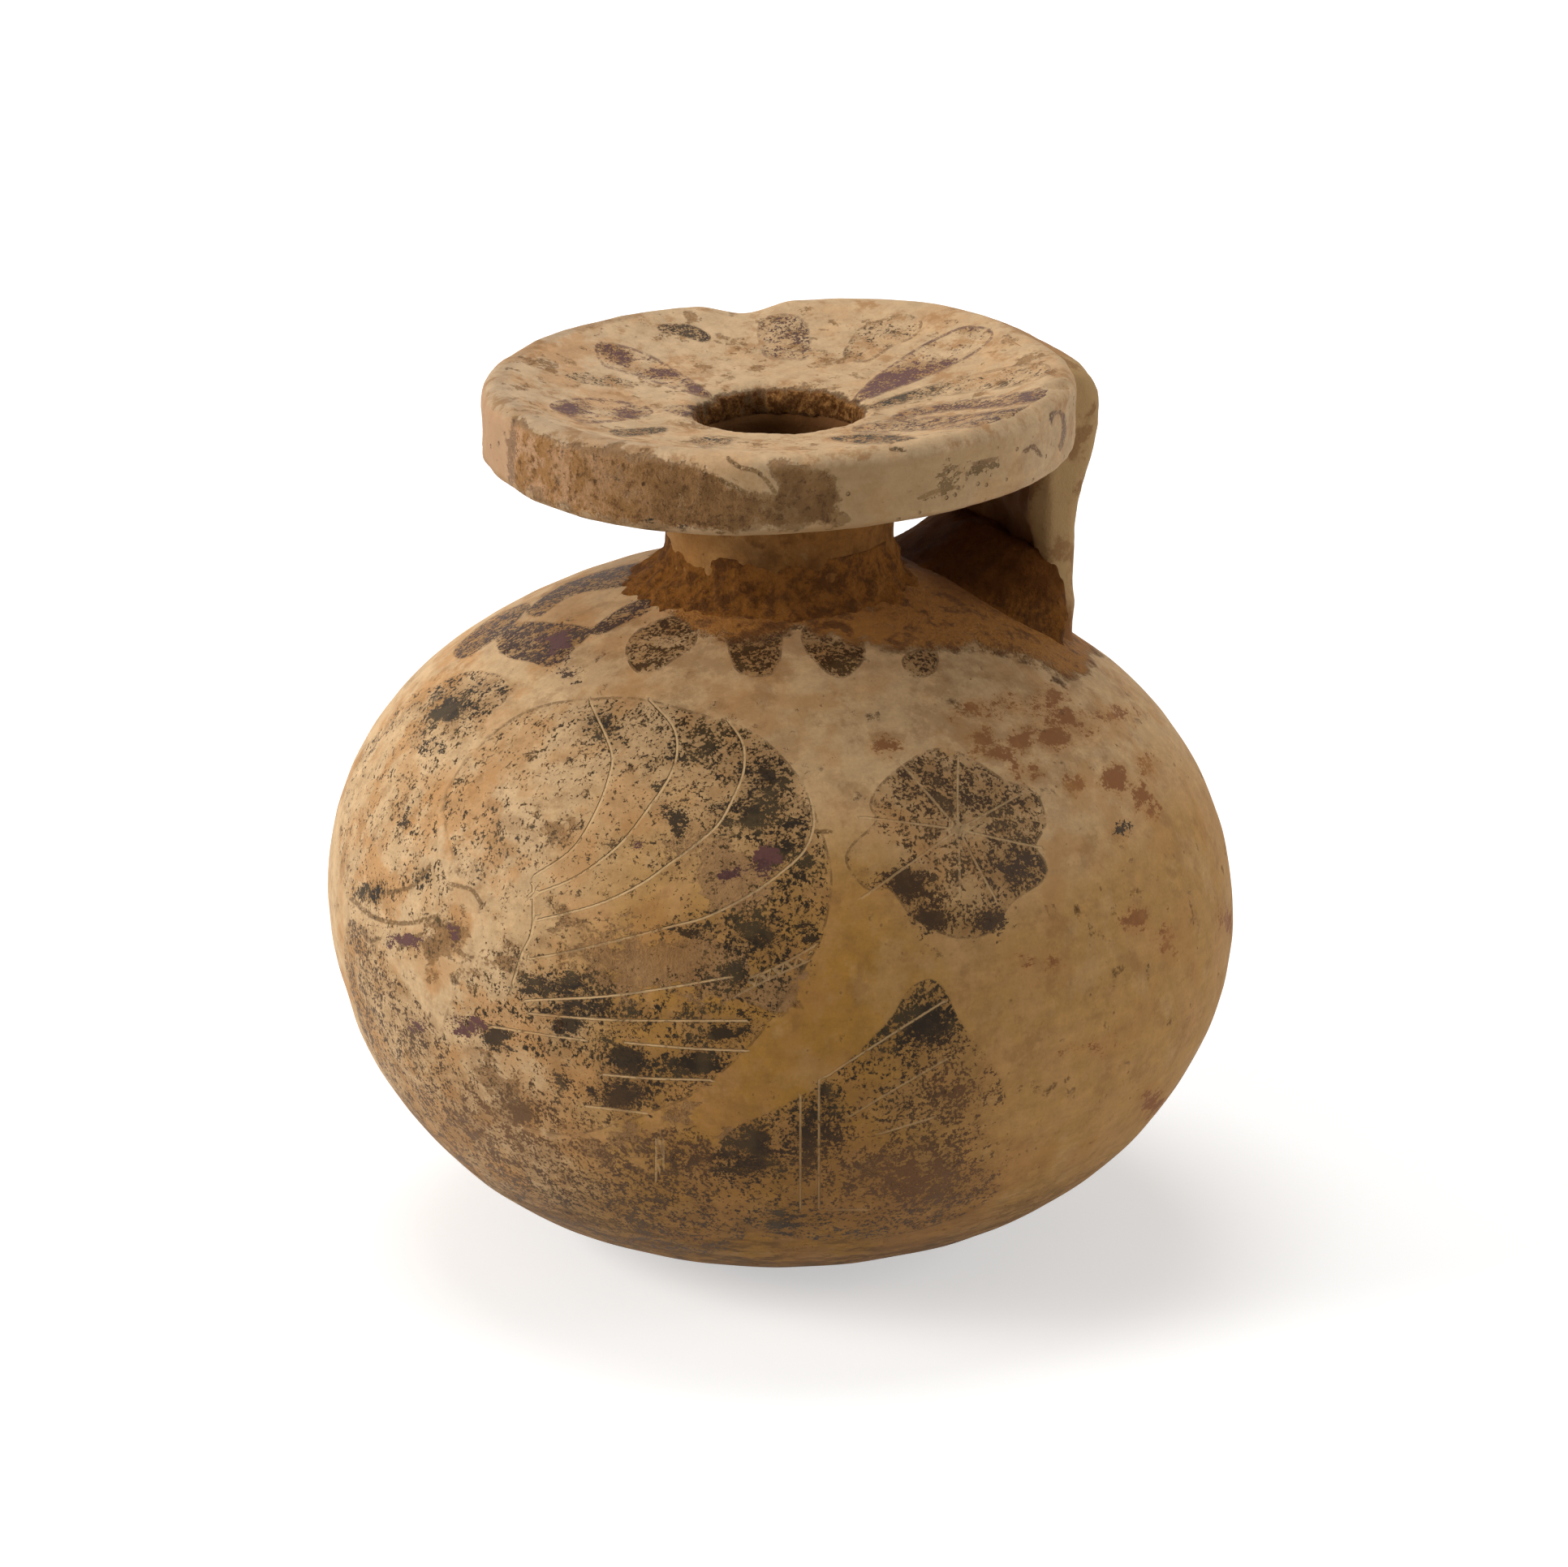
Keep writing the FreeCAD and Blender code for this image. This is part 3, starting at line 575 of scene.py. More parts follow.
# How far the plate's crest and foot stand out past their even radii, by angle from the camera's right.
RIM_ANGLES = [-180, -154, -131, -114, -98, -84, -67, -47, -25, 5, 30, 57, 68, 78, 86, 123, 180]
CREST_OUT = [0.0, 0.1, 0.3, 0.3, 0.2, 0.0, -0.3, -0.7, -0.6, 0.0, 0.0, 1.5, 1.3, 0.8, 0.1, 0.0, 0.0]
BAND_FOOT_OUT = [0.2, 0.0, 0.7, 0.9, 0.8, 0.0, -0.5, -0.8, -0.5, 0.2, 0.0, 1.0, 0.8, 0.5, 0.1, 0.0, 0.2]
PLATE_UNDER = 60.2
PLATE_TOP = 66.1
PLATE_ROLL = math.radians(0.8)
PLATE_BODY = (57.0, 60.0)
UNEVEN_FROM = (12.0, 20.0)
CHIP_ANGLE = 97.0
CHIP_HALF_ANGLE = 11.0
CHIP_DEPTH = 0.85
CHIP_FROM = (18.0, 21.0)
BACK_RISE = 0.2
BACK_RISE_ANGLE = 62.0
BACK_RISE_HALF_ANGLE = 45.0


def settle(points):
    """Move points as the soft clay settled before it was fired."""
    points = np.array(points, float)
    right = points @ RIGHTWARD
    away = points @ AWAY
    reach = np.hypot(right, away)
    angle = np.degrees(np.arctan2(away, right))
    height = points[:, 2]
    over_shoulder = np.hypot(reach, height - SHOULDER_CENTRE[1]) - SHOULDER_RADIUS
    follows = np.where(height > EQUATOR, ease(LEAN_FADE, 0.0, over_shoulder), 1.0)
    aside = np.interp(height, LEAN_HEIGHTS, LEAN_ASIDE) * follows * ease(0.0, LEAN_HEIGHTS[0], height)

    on_plate = ease(*PLATE_BODY, height)
    outer = ease(*UNEVEN_FROM, reach) * on_plate
    up_band = ease(PLATE_UNDER, PLATE_TOP, height)
    crest_out, foot_out = (np.interp(angle, RIM_ANGLES, out) for out in (CREST_OUT, BAND_FOOT_OUT))
    swell = (foot_out + (crest_out - foot_out) * up_band) * outer
    lift = right * math.tan(PLATE_ROLL) * on_plate
    lift += BACK_RISE * bulge(angle, BACK_RISE_ANGLE, BACK_RISE_HALF_ANGLE) * outer
    lift -= CHIP_DEPTH * bulge(angle, CHIP_ANGLE, CHIP_HALF_ANGLE) * ease(*CHIP_FROM, reach) * up_band

    outward = points * (1.0, 1.0, 0.0) / np.maximum(reach, TINY)[:, None]
    points += RIGHTWARD * aside[:, None] + outward * swell[:, None]
    points[:, 2] += lift
    return points


def add_piece(name, mesh, points, nodes):
    """Put a mesh in the scene, with its points in millimetres, for one or more of the frame's nodes."""
    mesh.name = name
    mesh.vertices.foreach_set("co", (points * MM).ravel())
    mesh.update()
    mesh.polygons.foreach_set("use_smooth", [True] * len(mesh.polygons))
    piece = bpy.data.objects.new(name, mesh)
    bpy.context.scene.collection.objects.link(piece)
    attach(piece, "root")
    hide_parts(*nodes)
    mesh.calc_loop_triangles()
    print(name, "has", len(mesh.loop_triangles), "triangles")


print("the wall leans by up to", -min(LEAN_ASIDE), "mm, the rim stands out by up to", max(CREST_OUT), "mm")

# %% [markdown]
# ## The body
#
# The body was thrown as one hollow ball, with an even wall and a thicker floor. Its outline runs
# from the middle of the underside over the shoulder to the rebate for the neck, and back along the
# inside. The outside takes short steps, because its paint and its cuts are laid on its points, and
# the hidden inside takes long ones.

# %% Body mesh
BODY_STEP = 0.42
UNDERSIDE_STEP = 0.9
INSIDE_STEP = 3.2
HIDDEN_STEP = 1.2
REBATE_STEP = 0.7
BODY_COLUMNS = 384
BODY_CROWDING = 0.42

flat_edge = (leg(BOTTOM_RADIUS, BOTTOM_CENTRE[1]), 0.0)
rebate_edge = (NECK_RADIUS, shoulder_height(NECK_RADIUS))
inner_floor_edge = (leg(BOTTOM_RADIUS - WALL, BOTTOM_CENTRE[1] - FLOOR_HEIGHT), FLOOR_HEIGHT)
throat_foot = (THROAT, shoulder_height(THROAT, WALL))

body_pen = Pen(0.0, 0.0).run(HIDDEN_STEP, flat_edge)
body_pen.arc(UNDERSIDE_STEP, BOTTOM_CENTRE, LOW_TURN)
body_pen.arc(BODY_STEP, LOW_CENTRE, 0.0).arc(BODY_STEP, UP_CENTRE, UP_TURN)
body_pen.arc(BODY_STEP, SHOULDER_CENTRE, angle_to(SHOULDER_CENTRE, rebate_edge))
body_pen.run(REBATE_STEP, (NECK_RADIUS, NECK_SEAT)).run(HIDDEN_STEP, (THROAT, NECK_SEAT), throat_foot)
body_pen.arc(INSIDE_STEP, SHOULDER_CENTRE, UP_TURN).arc(INSIDE_STEP, UP_CENTRE, 0.0)
body_pen.arc(INSIDE_STEP, LOW_CENTRE, LOW_TURN)
body_pen.arc(INSIDE_STEP, BOTTOM_CENTRE, angle_to(BOTTOM_CENTRE, inner_floor_edge))
body_pen.run(INSIDE_STEP, (0.0, FLOOR_HEIGHT))
body_mesh = turned_mesh("body_clay", body_pen.places, BODY_COLUMNS, "slipped_clay", BODY_CROWDING)

# %% [markdown]
# ### The surface of the body
#
# The wall isn't even. The hand left broad waves in it and finer ones between them, and a small chip
# is missing low on the right. Each point moves on its own way out from the middle of the body.

# %% Body surface
FINE_WAVE = (0.10, 5.0)
HAND_WAVE = (0.16, 22.0)
STILL_FOOT = 4.0
CHIP_PLACE = camera_place(28.3, -1.5, 9.2)
CHIP_REACH = 3.6
CHIP_SINK = 0.7

body_points = settle(points_of(body_mesh))
body_outward = body_points - UPRIGHT * EQUATOR
body_outward /= np.linalg.norm(body_outward, axis=1)[:, None]
body_push = HAND_WAVE[0] * noise_at(body_points, HAND_WAVE[1], 3, 1)
body_push += FINE_WAVE[0] * noise_at(body_points, FINE_WAVE[1], 4, 2)
body_push *= ease(0.0, STILL_FOOT, body_points[:, 2])
body_points += body_outward * body_push[:, None]
to_chip = np.linalg.norm(body_points - CHIP_PLACE, axis=1)
body_points -= body_outward * (CHIP_SINK * ease(CHIP_REACH, CHIP_REACH * 0.45, to_chip))[:, None]
add_piece("body_clay", body_mesh, body_points, ["body"])

# %% [markdown]
# ## Neck and the clay round it
#
# The neck is a short tube, a little uneven from the fingers that joined it. Clay was pressed into
# the corner at its foot and under the plate. At the foot it is a rough, crusted ring, so that ring
# gets lumps in its mesh and not only in its shading.

# %% Neck mesh
FINE_STEP = 0.3
NECK_STEP = 0.8
NECK_COLUMNS = 160
NECK_LUMPS = (0.14, 3.0, 11)

neck_pen = Pen(THROAT, NECK_SEAT).run(NECK_STEP, (NECK_RADIUS, NECK_SEAT))
neck_pen.run(FINE_STEP, (NECK_RADIUS, NECK_TOP)).run(NECK_STEP, (THROAT, NECK_TOP), (THROAT, NECK_SEAT))


def lumped(points, depth, size, seed, share=1.0):
    """Push points away from the axis, or back, by rough lumps of a depth and a size."""
    push = depth * noise_at(points, size, seed, 4) * share
    outward = points * (1.0, 1.0, 0.0)
    outward /= np.maximum(np.linalg.norm(outward, axis=1), TINY)[:, None]
    return points + outward * push[:, None]


neck_mesh = turned_mesh("neck_clay", neck_pen.places, NECK_COLUMNS, "neck_clay")
neck_points = points_of(neck_mesh)
neck_points = lumped(neck_points, *NECK_LUMPS, reach_of(neck_points) > NECK_RADIUS - 0.1)
add_piece("neck_clay", neck_mesh, settle(neck_points), ["neck"])

# %% [markdown]
# ### The rings of luting clay
#
# Both rings are turned, as the neck is. The one at the foot is hollowed from the neck's wall down to
# a toe just under the shoulder's surface, and lumps of two sizes make its crust. The one under the
# plate is hidden and nearly smooth.

# %% Luting rings
NECK_FOOT_RISE = 54.2
NECK_FOOT_HOLLOW = 4.6
NECK_FOOT_TOE = 10.9
NECK_HEAD_HOLLOW = 1.7
RING_SINK = 0.35
RING_COLUMNS = 240
RING_STEP = 0.22
HEAD_RING_STEP = 0.25
HEAD_RING_LUMPS = (0.12, 2.5, 23)
# Lumps of the crust: depth, size, seed, and how far past the neck's wall they begin and are full.
CRUST_LUMPS = ((0.5, 2.2, 21, -0.1, 0.4), (0.22, 0.9, 22, 0.0, 0.5))

ring_inside = NECK_RADIUS - RING_SINK
foot_centre = (NECK_RADIUS + NECK_FOOT_HOLLOW, NECK_FOOT_RISE)
foot_toe = (NECK_FOOT_TOE, shoulder_height(NECK_FOOT_TOE) - RING_SINK)
foot_heel = (ring_inside, shoulder_height(NECK_RADIUS) - RING_SINK)
foot_pen = Pen(NECK_RADIUS, NECK_FOOT_RISE).arc(RING_STEP, foot_centre, angle_to(foot_centre, foot_toe) % 360)
foot_pen.run(NECK_STEP, foot_toe, foot_heel, (ring_inside, NECK_FOOT_RISE))
foot_pen.run(FINE_STEP, (NECK_RADIUS, NECK_FOOT_RISE))
foot_ring_mesh = turned_mesh("neck_foot_crust", foot_pen.places, RING_COLUMNS, "crusted_clay")
foot_points = points_of(foot_ring_mesh)
for depth, size, seed, low, high in CRUST_LUMPS:
    share = ease(NECK_RADIUS + low, NECK_RADIUS + high, reach_of(foot_points))
    foot_points = lumped(foot_points, depth, size, seed, share)
add_piece("neck_foot_crust", foot_ring_mesh, settle(foot_points), ["neck_foot_luting"])

head_centre = (NECK_RADIUS + NECK_HEAD_HOLLOW, PLATE_UNDER - NECK_HEAD_HOLLOW)
head_top = PLATE_UNDER + RING_SINK
head_pen = Pen(head_centre[0], PLATE_UNDER).arc(HEAD_RING_STEP, head_centre, 180.0)
head_pen.run(NECK_STEP, (ring_inside, head_centre[1]), (ring_inside, head_top))
head_pen.run(NECK_STEP, (head_centre[0], head_top), (head_centre[0], PLATE_UNDER))
head_ring_mesh = turned_mesh("neck_head_clay", head_pen.places, NECK_COLUMNS, "luting_clay")
head_points = lumped(points_of(head_ring_mesh), *HEAD_RING_LUMPS)
add_piece("neck_head_clay", head_ring_mesh, settle(head_points), ["neck_head_luting"])

# %% [markdown]
# ## The mouth plate
#
# A broad plate with an upright band, a rounded crest and a dish that falls to the hole. The dish is
# one long arc that starts level at the lip and meets the inside of the crest without a corner.

# %% Plate mesh
PLATE_RADIUS = 22.0
BAND_FOOT_RADIUS = 21.8
BAND_FOOT_ROUND = 0.8
CREST_ROUND = 1.2
CREST_INNER_ROUND = 4.0
DISH_FLOOR = 63.6
LIP_ROUND = 1.5
PLATE_STEP = 0.36
ROUNDING_STEP = 0.25
UNDER_STEP = 0.7
PLATE_COLUMNS = 420
NOTCH_MIDDLE = (1309, 479)
NOTCH_REACH = (19, 7)
NOTCH_EDGE = (1.0, 0.3)
NOTCH_DEPTH = 0.7
NOTCH_FROM = (18.0, 19.0)
DISH_WAVE = (0.10, 6.0)
BAND_LUMPS = (0.16, 3.5, 31)
BAND_FROM = (19.5, 21.5)
THROAT_LUMPS = ((0.35, 2.4, 33), (0.16, 0.8, 34))
THROAT_WITHIN = (8.4, 6.6)

crest = PLATE_RADIUS - CREST_ROUND
lip_reach = THROAT + LIP_ROUND
lip_centre = (lip_reach, DISH_FLOOR - LIP_ROUND)
dish_rise = PLATE_TOP - DISH_FLOOR
dish_radius = ((crest - lip_reach) ** 2 + dish_rise ** 2) / (2 * dish_rise) - CREST_INNER_ROUND
dish_centre = (lip_reach, DISH_FLOOR + dish_radius)
crest_centre = (crest, PLATE_TOP - CREST_ROUND)
crest_inner_centre = (crest, PLATE_TOP - CREST_INNER_ROUND)
dish_turn = angle_to(dish_centre, crest_inner_centre)
band_foot_centre = (BAND_FOOT_RADIUS - BAND_FOOT_ROUND, PLATE_UNDER + BAND_FOOT_ROUND)

plate_pen = Pen(THROAT, NECK_TOP).run(NECK_STEP, (NECK_RADIUS, NECK_TOP))
plate_pen.run(UNDER_STEP, (NECK_RADIUS, PLATE_UNDER), (band_foot_centre[0], PLATE_UNDER))
plate_pen.arc(ROUNDING_STEP, band_foot_centre, 0.0)
plate_pen.run(PLATE_STEP, (PLATE_RADIUS, crest_centre[1])).arc(ROUNDING_STEP, crest_centre, 90.0)
plate_pen.arc(PLATE_STEP, crest_inner_centre, 180.0 + dish_turn).arc(PLATE_STEP, dish_centre, -90.0)
plate_pen.arc(FINE_STEP, lip_centre, 180.0).run(PLATE_STEP, (THROAT, NECK_TOP))
plate_mesh = turned_mesh("mouth_plate", plate_pen.places, PLATE_COLUMNS, "rim_clay")
plate_points = points_of(plate_mesh)
plate_reach = reach_of(plate_points)
rough_band = ease(*BAND_FROM, plate_reach)
in_throat = ease(*THROAT_WITHIN, plate_reach) * (plate_points[:, 2] > NECK_TOP)
plate_points = lumped(plate_points, *BAND_LUMPS, rough_band)
for lumps in THROAT_LUMPS:
    plate_points = lumped(plate_points, *lumps, in_throat)
notch = np.hypot(*((in_picture(plate_points) - NOTCH_MIDDLE) / NOTCH_REACH).T)
plate_points[:, 2] -= NOTCH_DEPTH * ease(*NOTCH_EDGE, notch) * ease(*NOTCH_FROM, plate_reach)
on_dish = plate_points[:, 2] > DISH_FLOOR - 0.1
plate_points[:, 2] += DISH_WAVE[0] * noise_at(plate_points, DISH_WAVE[1], 35, 2) * on_dish
add_piece("mouth_plate", plate_mesh, settle(plate_points), ["mouth_disc"])

# %% [markdown]
# ## The strap handle
#
# The strap was pulled from a roll of clay, bent and lapped on the rim. It is wide and bowed at its
# head, narrow at its waist and flares into the shoulder. Every level section is a bowed oblong with
# rounded corners, so the strap is a stack of such sections joined by faces.

# %% Strap mesh
STRAP_INNER = 19.7
STRAP_WAIST = 22.4
STRAP_HEAD = 24.2
STRAP_TOP = 65.9
STRAP_HEAD_ROUND = 3.6
STRAP_SIDE_ROUND = 1.8
STRAP_EDGE_ROUND = 1.1
STRAP_BULGE_HEIGHT = 63.0
STRAP_WAIST_HEIGHT = 50.0
STRAP_END_HEIGHT = 42.5
STRAP_WAIST_HALF = 7.8
STRAP_HEAD_FALL = 0.9
STRAP_INNER_FLARE = 29.0
STRAP_OUTER_FLARE = 31.0
SCALLOP_RADIUS = 30.0
SCALLOP_HEIGHT = 54.2
STRAP_CRUST = 0.6
STRAP_CRUST_LUMPS = (0.5, 2.4)
STRAP_LUMPS = (0.18, 4.0, 41)
CRUST_WITHIN = (20.6, 20.0)
CRUST_BELOW = (60.0, 58.5)
CRUST_ASIDE = (7.6, 6.2)
STRAP_STEP = 0.35
CAP_SHRINKS = (0.0, 0.25, 0.5, 0.75, 0.9)
OUTWARD = np.array([1.0, 0.0, 0.0])


def strap_faces(height):
    """How far the strap's inner and outer faces lie from the axis at a height."""
    drop = STRAP_BULGE_HEIGHT - STRAP_WAIST_HEIGHT
    swell = (drop ** 2 + (STRAP_HEAD - STRAP_WAIST) ** 2) / (4 * (STRAP_HEAD - STRAP_WAIST))
    if height < STRAP_WAIST_HEIGHT:
        below = STRAP_WAIST_HEIGHT - height
        return STRAP_INNER - below ** 2 / STRAP_INNER_FLARE, STRAP_WAIST + below ** 2 / STRAP_OUTER_FLARE
    if height < (STRAP_BULGE_HEIGHT + STRAP_WAIST_HEIGHT) / 2:
        return STRAP_INNER, STRAP_WAIST + swell - leg(swell, height - STRAP_WAIST_HEIGHT)
    if height < STRAP_BULGE_HEIGHT:
        return STRAP_INNER, STRAP_HEAD - swell + leg(swell, STRAP_BULGE_HEIGHT - height)
    return STRAP_INNER, STRAP_HEAD


def oblong(half_width, half_depth, rounding, across_steps=30, turn_steps=5):
    """Points round an oblong with rounded corners, counter-clockwise, as (along the width, outwards)."""
    places = []
    for side, (sign_w, sign_d) in enumerate([(1, 1), (-1, 1), (-1, -1), (1, -1)]):
        middle = (sign_w * (half_width - rounding), sign_d * (half_depth - rounding))
        for step in range(turn_steps + 1):
            a = math.radians(90 * side + 90 * step / turn_steps)
            places.append((middle[0] + rounding * math.cos(a), middle[1] + rounding * math.sin(a)))
        if side in (0, 2):
            for step in range(1, across_steps):
                places.append((middle[0] * (1 - 2 * step / across_steps), sign_d * half_depth))
    return places


def strap_section(height, shrink=1.0):
    """One level section of the strap, bowed round the axis."""
    inner, outer = strap_faces(height)
    half_width = STRAP_WAIST_HALF + SCALLOP_RADIUS - leg(SCALLOP_RADIUS, height - SCALLOP_HEIGHT)
    head_in, side_in = (
        rounding - leg(rounding, min(max(0.0, height - STRAP_TOP + rounding), rounding))
        for rounding in (STRAP_HEAD_ROUND, STRAP_SIDE_ROUND)
    )
    outer -= head_in * STRAP_HEAD_FALL
    half_depth = (outer - inner) / 2
    places = []
    for width, out in oblong(half_width - side_in, half_depth, min(STRAP_EDGE_ROUND, half_depth * 0.95)):
        reach = (inner + outer) / 2 + out * shrink
        turn = math.asin(width * shrink / reach)
        places.append((reach * math.cos(turn), reach * math.sin(turn), height))
    return places


def stacked_mesh(name, rings, clay):
    """A closed mesh through rings of points, each end drawn together to its middle."""
    count = len(rings[0])
    faces = []
    for level in range(len(rings) - 1):
        for k in range(count):
            here, beside = level * count + k, level * count + (k + 1) % count
            faces.append((here, beside, beside + count, here + count))
    mesh = bpy.data.meshes.new(name)
    mesh.from_pydata([tuple(np.array(place) * MM) for ring in rings for place in ring], [], faces)
    mesh.materials.append(CLAYS[clay])
    print(name, "sections:", len(rings), "open edges:", outward_faces(mesh))
    return mesh


strap_heights = list(np.arange(STRAP_END_HEIGHT, STRAP_TOP - STRAP_HEAD_ROUND, STRAP_STEP))
strap_heights += [STRAP_TOP - STRAP_HEAD_ROUND * (1 - math.sin(math.radians(a))) for a in range(0, 91, 10)]
strap_rings = [strap_section(STRAP_END_HEIGHT, s) for s in CAP_SHRINKS]
strap_rings += [strap_section(z) for z in strap_heights]
strap_rings += [strap_section(STRAP_TOP, s) for s in reversed(CAP_SHRINKS)]
strap_mesh = stacked_mesh("strap_handle", strap_rings, "strap_clay")
strap_points = lumped(points_of(strap_mesh), *STRAP_LUMPS)
crusted_face = ease(*CRUST_WITHIN, reach_of(strap_points)) * ease(*CRUST_BELOW, strap_points[:, 2])
crusted_face *= ease(*CRUST_ASIDE, np.abs(strap_points[:, 1]))
crusted_face *= STRAP_CRUST + STRAP_CRUST_LUMPS[0] * noise_at(strap_points, STRAP_CRUST_LUMPS[1], 42, 4)
strap_points -= crusted_face[:, None] * OUTWARD
add_piece("strap_handle", strap_mesh, settle(strap_points), ["handle"])

# %% [markdown]
# ## The mound at the strap's foot
#
# Clay was pressed round the strap's foot and smeared out over the shoulder. It is a low hill that
# lies on the shoulder, so its points are given by how far they lie from its middle along the slope
# and across it, and by a height square to the shoulder. Its skirt goes a little below the surface,
# so that no gap opens round it.

# %% Mound mesh
MOUND_REACH = 19.6
MOUND_UP_SLOPE = 9.0
MOUND_DOWN_SLOPE = 4.0
MOUND_HALF_WIDTH = 12.6
MOUND_HEIGHT = 2.9
MOUND_FLAT = 0.52
MOUND_LEAN = 1.4
MOUND_LEAN_PLACE = (18.0, 6.5)
MOUND_LEAN_ASIDE = (12.6, 7.0)
MOUND_OUTER_FALL = 2.5
MOUND_OUTER_FROM = (18.8, 21.2)
MOUND_CALM = 0.8
MOUND_LUMPS = (0.5, 3.2)
MOUND_CRUMBS = (0.22, 1.1)
MOUND_SINK = 0.5
MOUND_COLUMNS = 180
MOUND_SHARES = np.linspace(1.0, 0.0, 46)

slope = math.asin(MOUND_REACH / SHOULDER_RADIUS)
mound_out = np.array([math.cos(slope), 0.0, -math.sin(slope)])
mound_side = np.array([0.0, 1.0, 0.0])
mound_up = np.array([math.sin(slope), 0.0, math.cos(slope)])
shoulder_middle = UPRIGHT * SHOULDER_CENTRE[1]


def mound_ring(share, height):
    """A ring over the shoulder, at a share of the mound's full reach."""
    ring = []
    for turn in 2 * math.pi * np.arange(MOUND_COLUMNS) / MOUND_COLUMNS:
        along = share * math.cos(turn) * (MOUND_DOWN_SLOPE if math.cos(turn) > 0 else MOUND_UP_SLOPE)
        aside = share * math.sin(turn) * MOUND_HALF_WIDTH
        up = leg(SHOULDER_RADIUS, math.hypot(along, aside))
        way = mound_out * along + mound_side * aside + mound_up * up
        ring.append(shoulder_middle + way * (1 + height / SHOULDER_RADIUS))
    return ring


mound_rises = (MOUND_HEIGHT + MOUND_SINK) * ease(1.0, MOUND_FLAT, MOUND_SHARES) - MOUND_SINK
mound_rings = [mound_ring(share, -MOUND_SINK * 2) for share in (0.0, 0.5, 1.0)]
mound_rings += [mound_ring(share, float(rise)) for share, rise in zip(MOUND_SHARES, mound_rises)]
mound_mesh = stacked_mesh("strap_foot_crust", mound_rings, "crusted_clay")
mound_points = points_of(mound_mesh)
mound_way = mound_points - shoulder_middle
mound_way /= np.linalg.norm(mound_way, axis=1)[:, None]
mound_lumps = MOUND_LUMPS[0] * noise_at(mound_points, MOUND_LUMPS[1], 51, 4)
mound_lumps += MOUND_CRUMBS[0] * noise_at(mound_points, MOUND_CRUMBS[1], 53, 2)
mound_lean = MOUND_LEAN * bulge(mound_points[:, 0], *MOUND_LEAN_PLACE)
mound_lumps += mound_lean * ease(*MOUND_LEAN_ASIDE, np.abs(mound_points[:, 1]))
beyond_strap = ease(*MOUND_OUTER_FROM, mound_points[:, 0])
mound_lumps = mound_lumps * (1.0 - MOUND_CALM * beyond_strap) - MOUND_OUTER_FALL * beyond_strap
mound_points += mound_way * mound_lumps[:, None]
add_piece("strap_foot_crust", mound_mesh, settle(mound_points), ["handle_foot_luting"])

# %% [markdown]
# ## The clay under the strap's head
#
# Only a small fillet of clay lies in the corner between the plate and the strap. Its solid already
# has the right shape, so a copy of it is merged, settled with the rest and used as it is.

# %% Head clay
head_clay_mesh = frame["nodes"]["handle_head_luting"].data.copy()
print("open edges of the head clay:", outward_faces(head_clay_mesh))
head_clay_mesh.materials.clear()
head_clay_mesh.materials.append(CLAYS["luting_clay"])
head_clay_points = settle(points_of(head_clay_mesh))
add_piece("strap_head_clay", head_clay_mesh, head_clay_points, ["handle_head_luting"])

# %% [markdown]
# ## Drawing on the clay
#
# The ornament was painted in dark slip, cut through with fine lines, and has since flaked. All of
# it is traced in the photograph's own plane, in its pixels, because there it can be checked at
# once. Each point of a mesh looks up its place in the picture and keeps how far it lies, in
# millimetres, from the nearest outline or line. Such a distance changes evenly from point to point,
# so a thin line stays sharp between points that are farther apart than the line is wide. Painting
# colours on the points would blur every edge to the size of a face.

# %% Distances in the picture
PIXELS_PER_MM = 16.4
FAR = 3.0
LINE_REACH = 2.0
TIP_FADE = 0.35
MOST_COVER = 0.74
SPOT_FALL = 1.2
GRAZING = 0.05
TONES = ("cover", "edge", "brown", "purple", "worn", "soil", "stain")


def curve_through(places, closed, steps=5):
    """A smooth curve through traced places, as many short pieces."""
    places = np.array(places, float)
    if len(places) == 2:
        return places
    if closed:
        before, here, there, after = (np.roll(places, k, axis=0) for k in (1, 0, -1, -2))
    else:
        padded = np.vstack([2 * places[0] - places[1], places, 2 * places[-1] - places[-2]])
        before, here, there, after = padded[:-3], padded[1:-2], padded[2:-1], padded[3:]
    shares = np.arange(steps)[:, None, None] / steps
    curve = 0.5 * (
        2 * here + (there - before) * shares
        + (2 * before - 5 * here + 4 * there - after) * shares ** 2
        + (3 * here - before - 3 * there + after) * shares ** 3
    )
    curve = curve.transpose(1, 0, 2).reshape(-1, 2)
    return np.vstack([curve, places[:1] if closed else places[-1:]])


def distance_to(places, curve):
    """Signed distance to a curve, in millimetres: its size, and the side of the curve as its sign."""
    nearest = np.full(len(places), FAR)
    for start, end in zip(curve[:-1], curve[1:]):
        way = end - start
        length = math.hypot(*way)
        if length < TINY:
            continue
        offset = places - start
        share = np.clip(offset @ way / length ** 2, 0.0, 1.0)
        size = np.hypot(*(offset - share[:, None] * way).T) / PIXELS_PER_MM
        side = np.where(way[0] * offset[:, 1] < way[1] * offset[:, 0], -1.0, 1.0)
        closer = size < np.abs(nearest)
        nearest[closer] = (size * side)[closer]
    return nearest


def outside_by(places, curve):
    """Signed distance to a closed curve, below 0 inside it. A level line is followed to count crossings."""
    crossings = np.zeros(len(places), int)
    for (x0, y0), (x1, y1) in zip(curve[:-1], curve[1:]):
        spans = (places[:, 1] < y0) != (places[:, 1] < y1)
        if spans.any():
            crossings += spans & (places[:, 0] < x0 + (places[:, 1] - y0) * (x1 - x0) / (y1 - y0))
    return np.abs(distance_to(places, curve)) * np.where(crossings % 2 == 1, -1.0, 1.0)


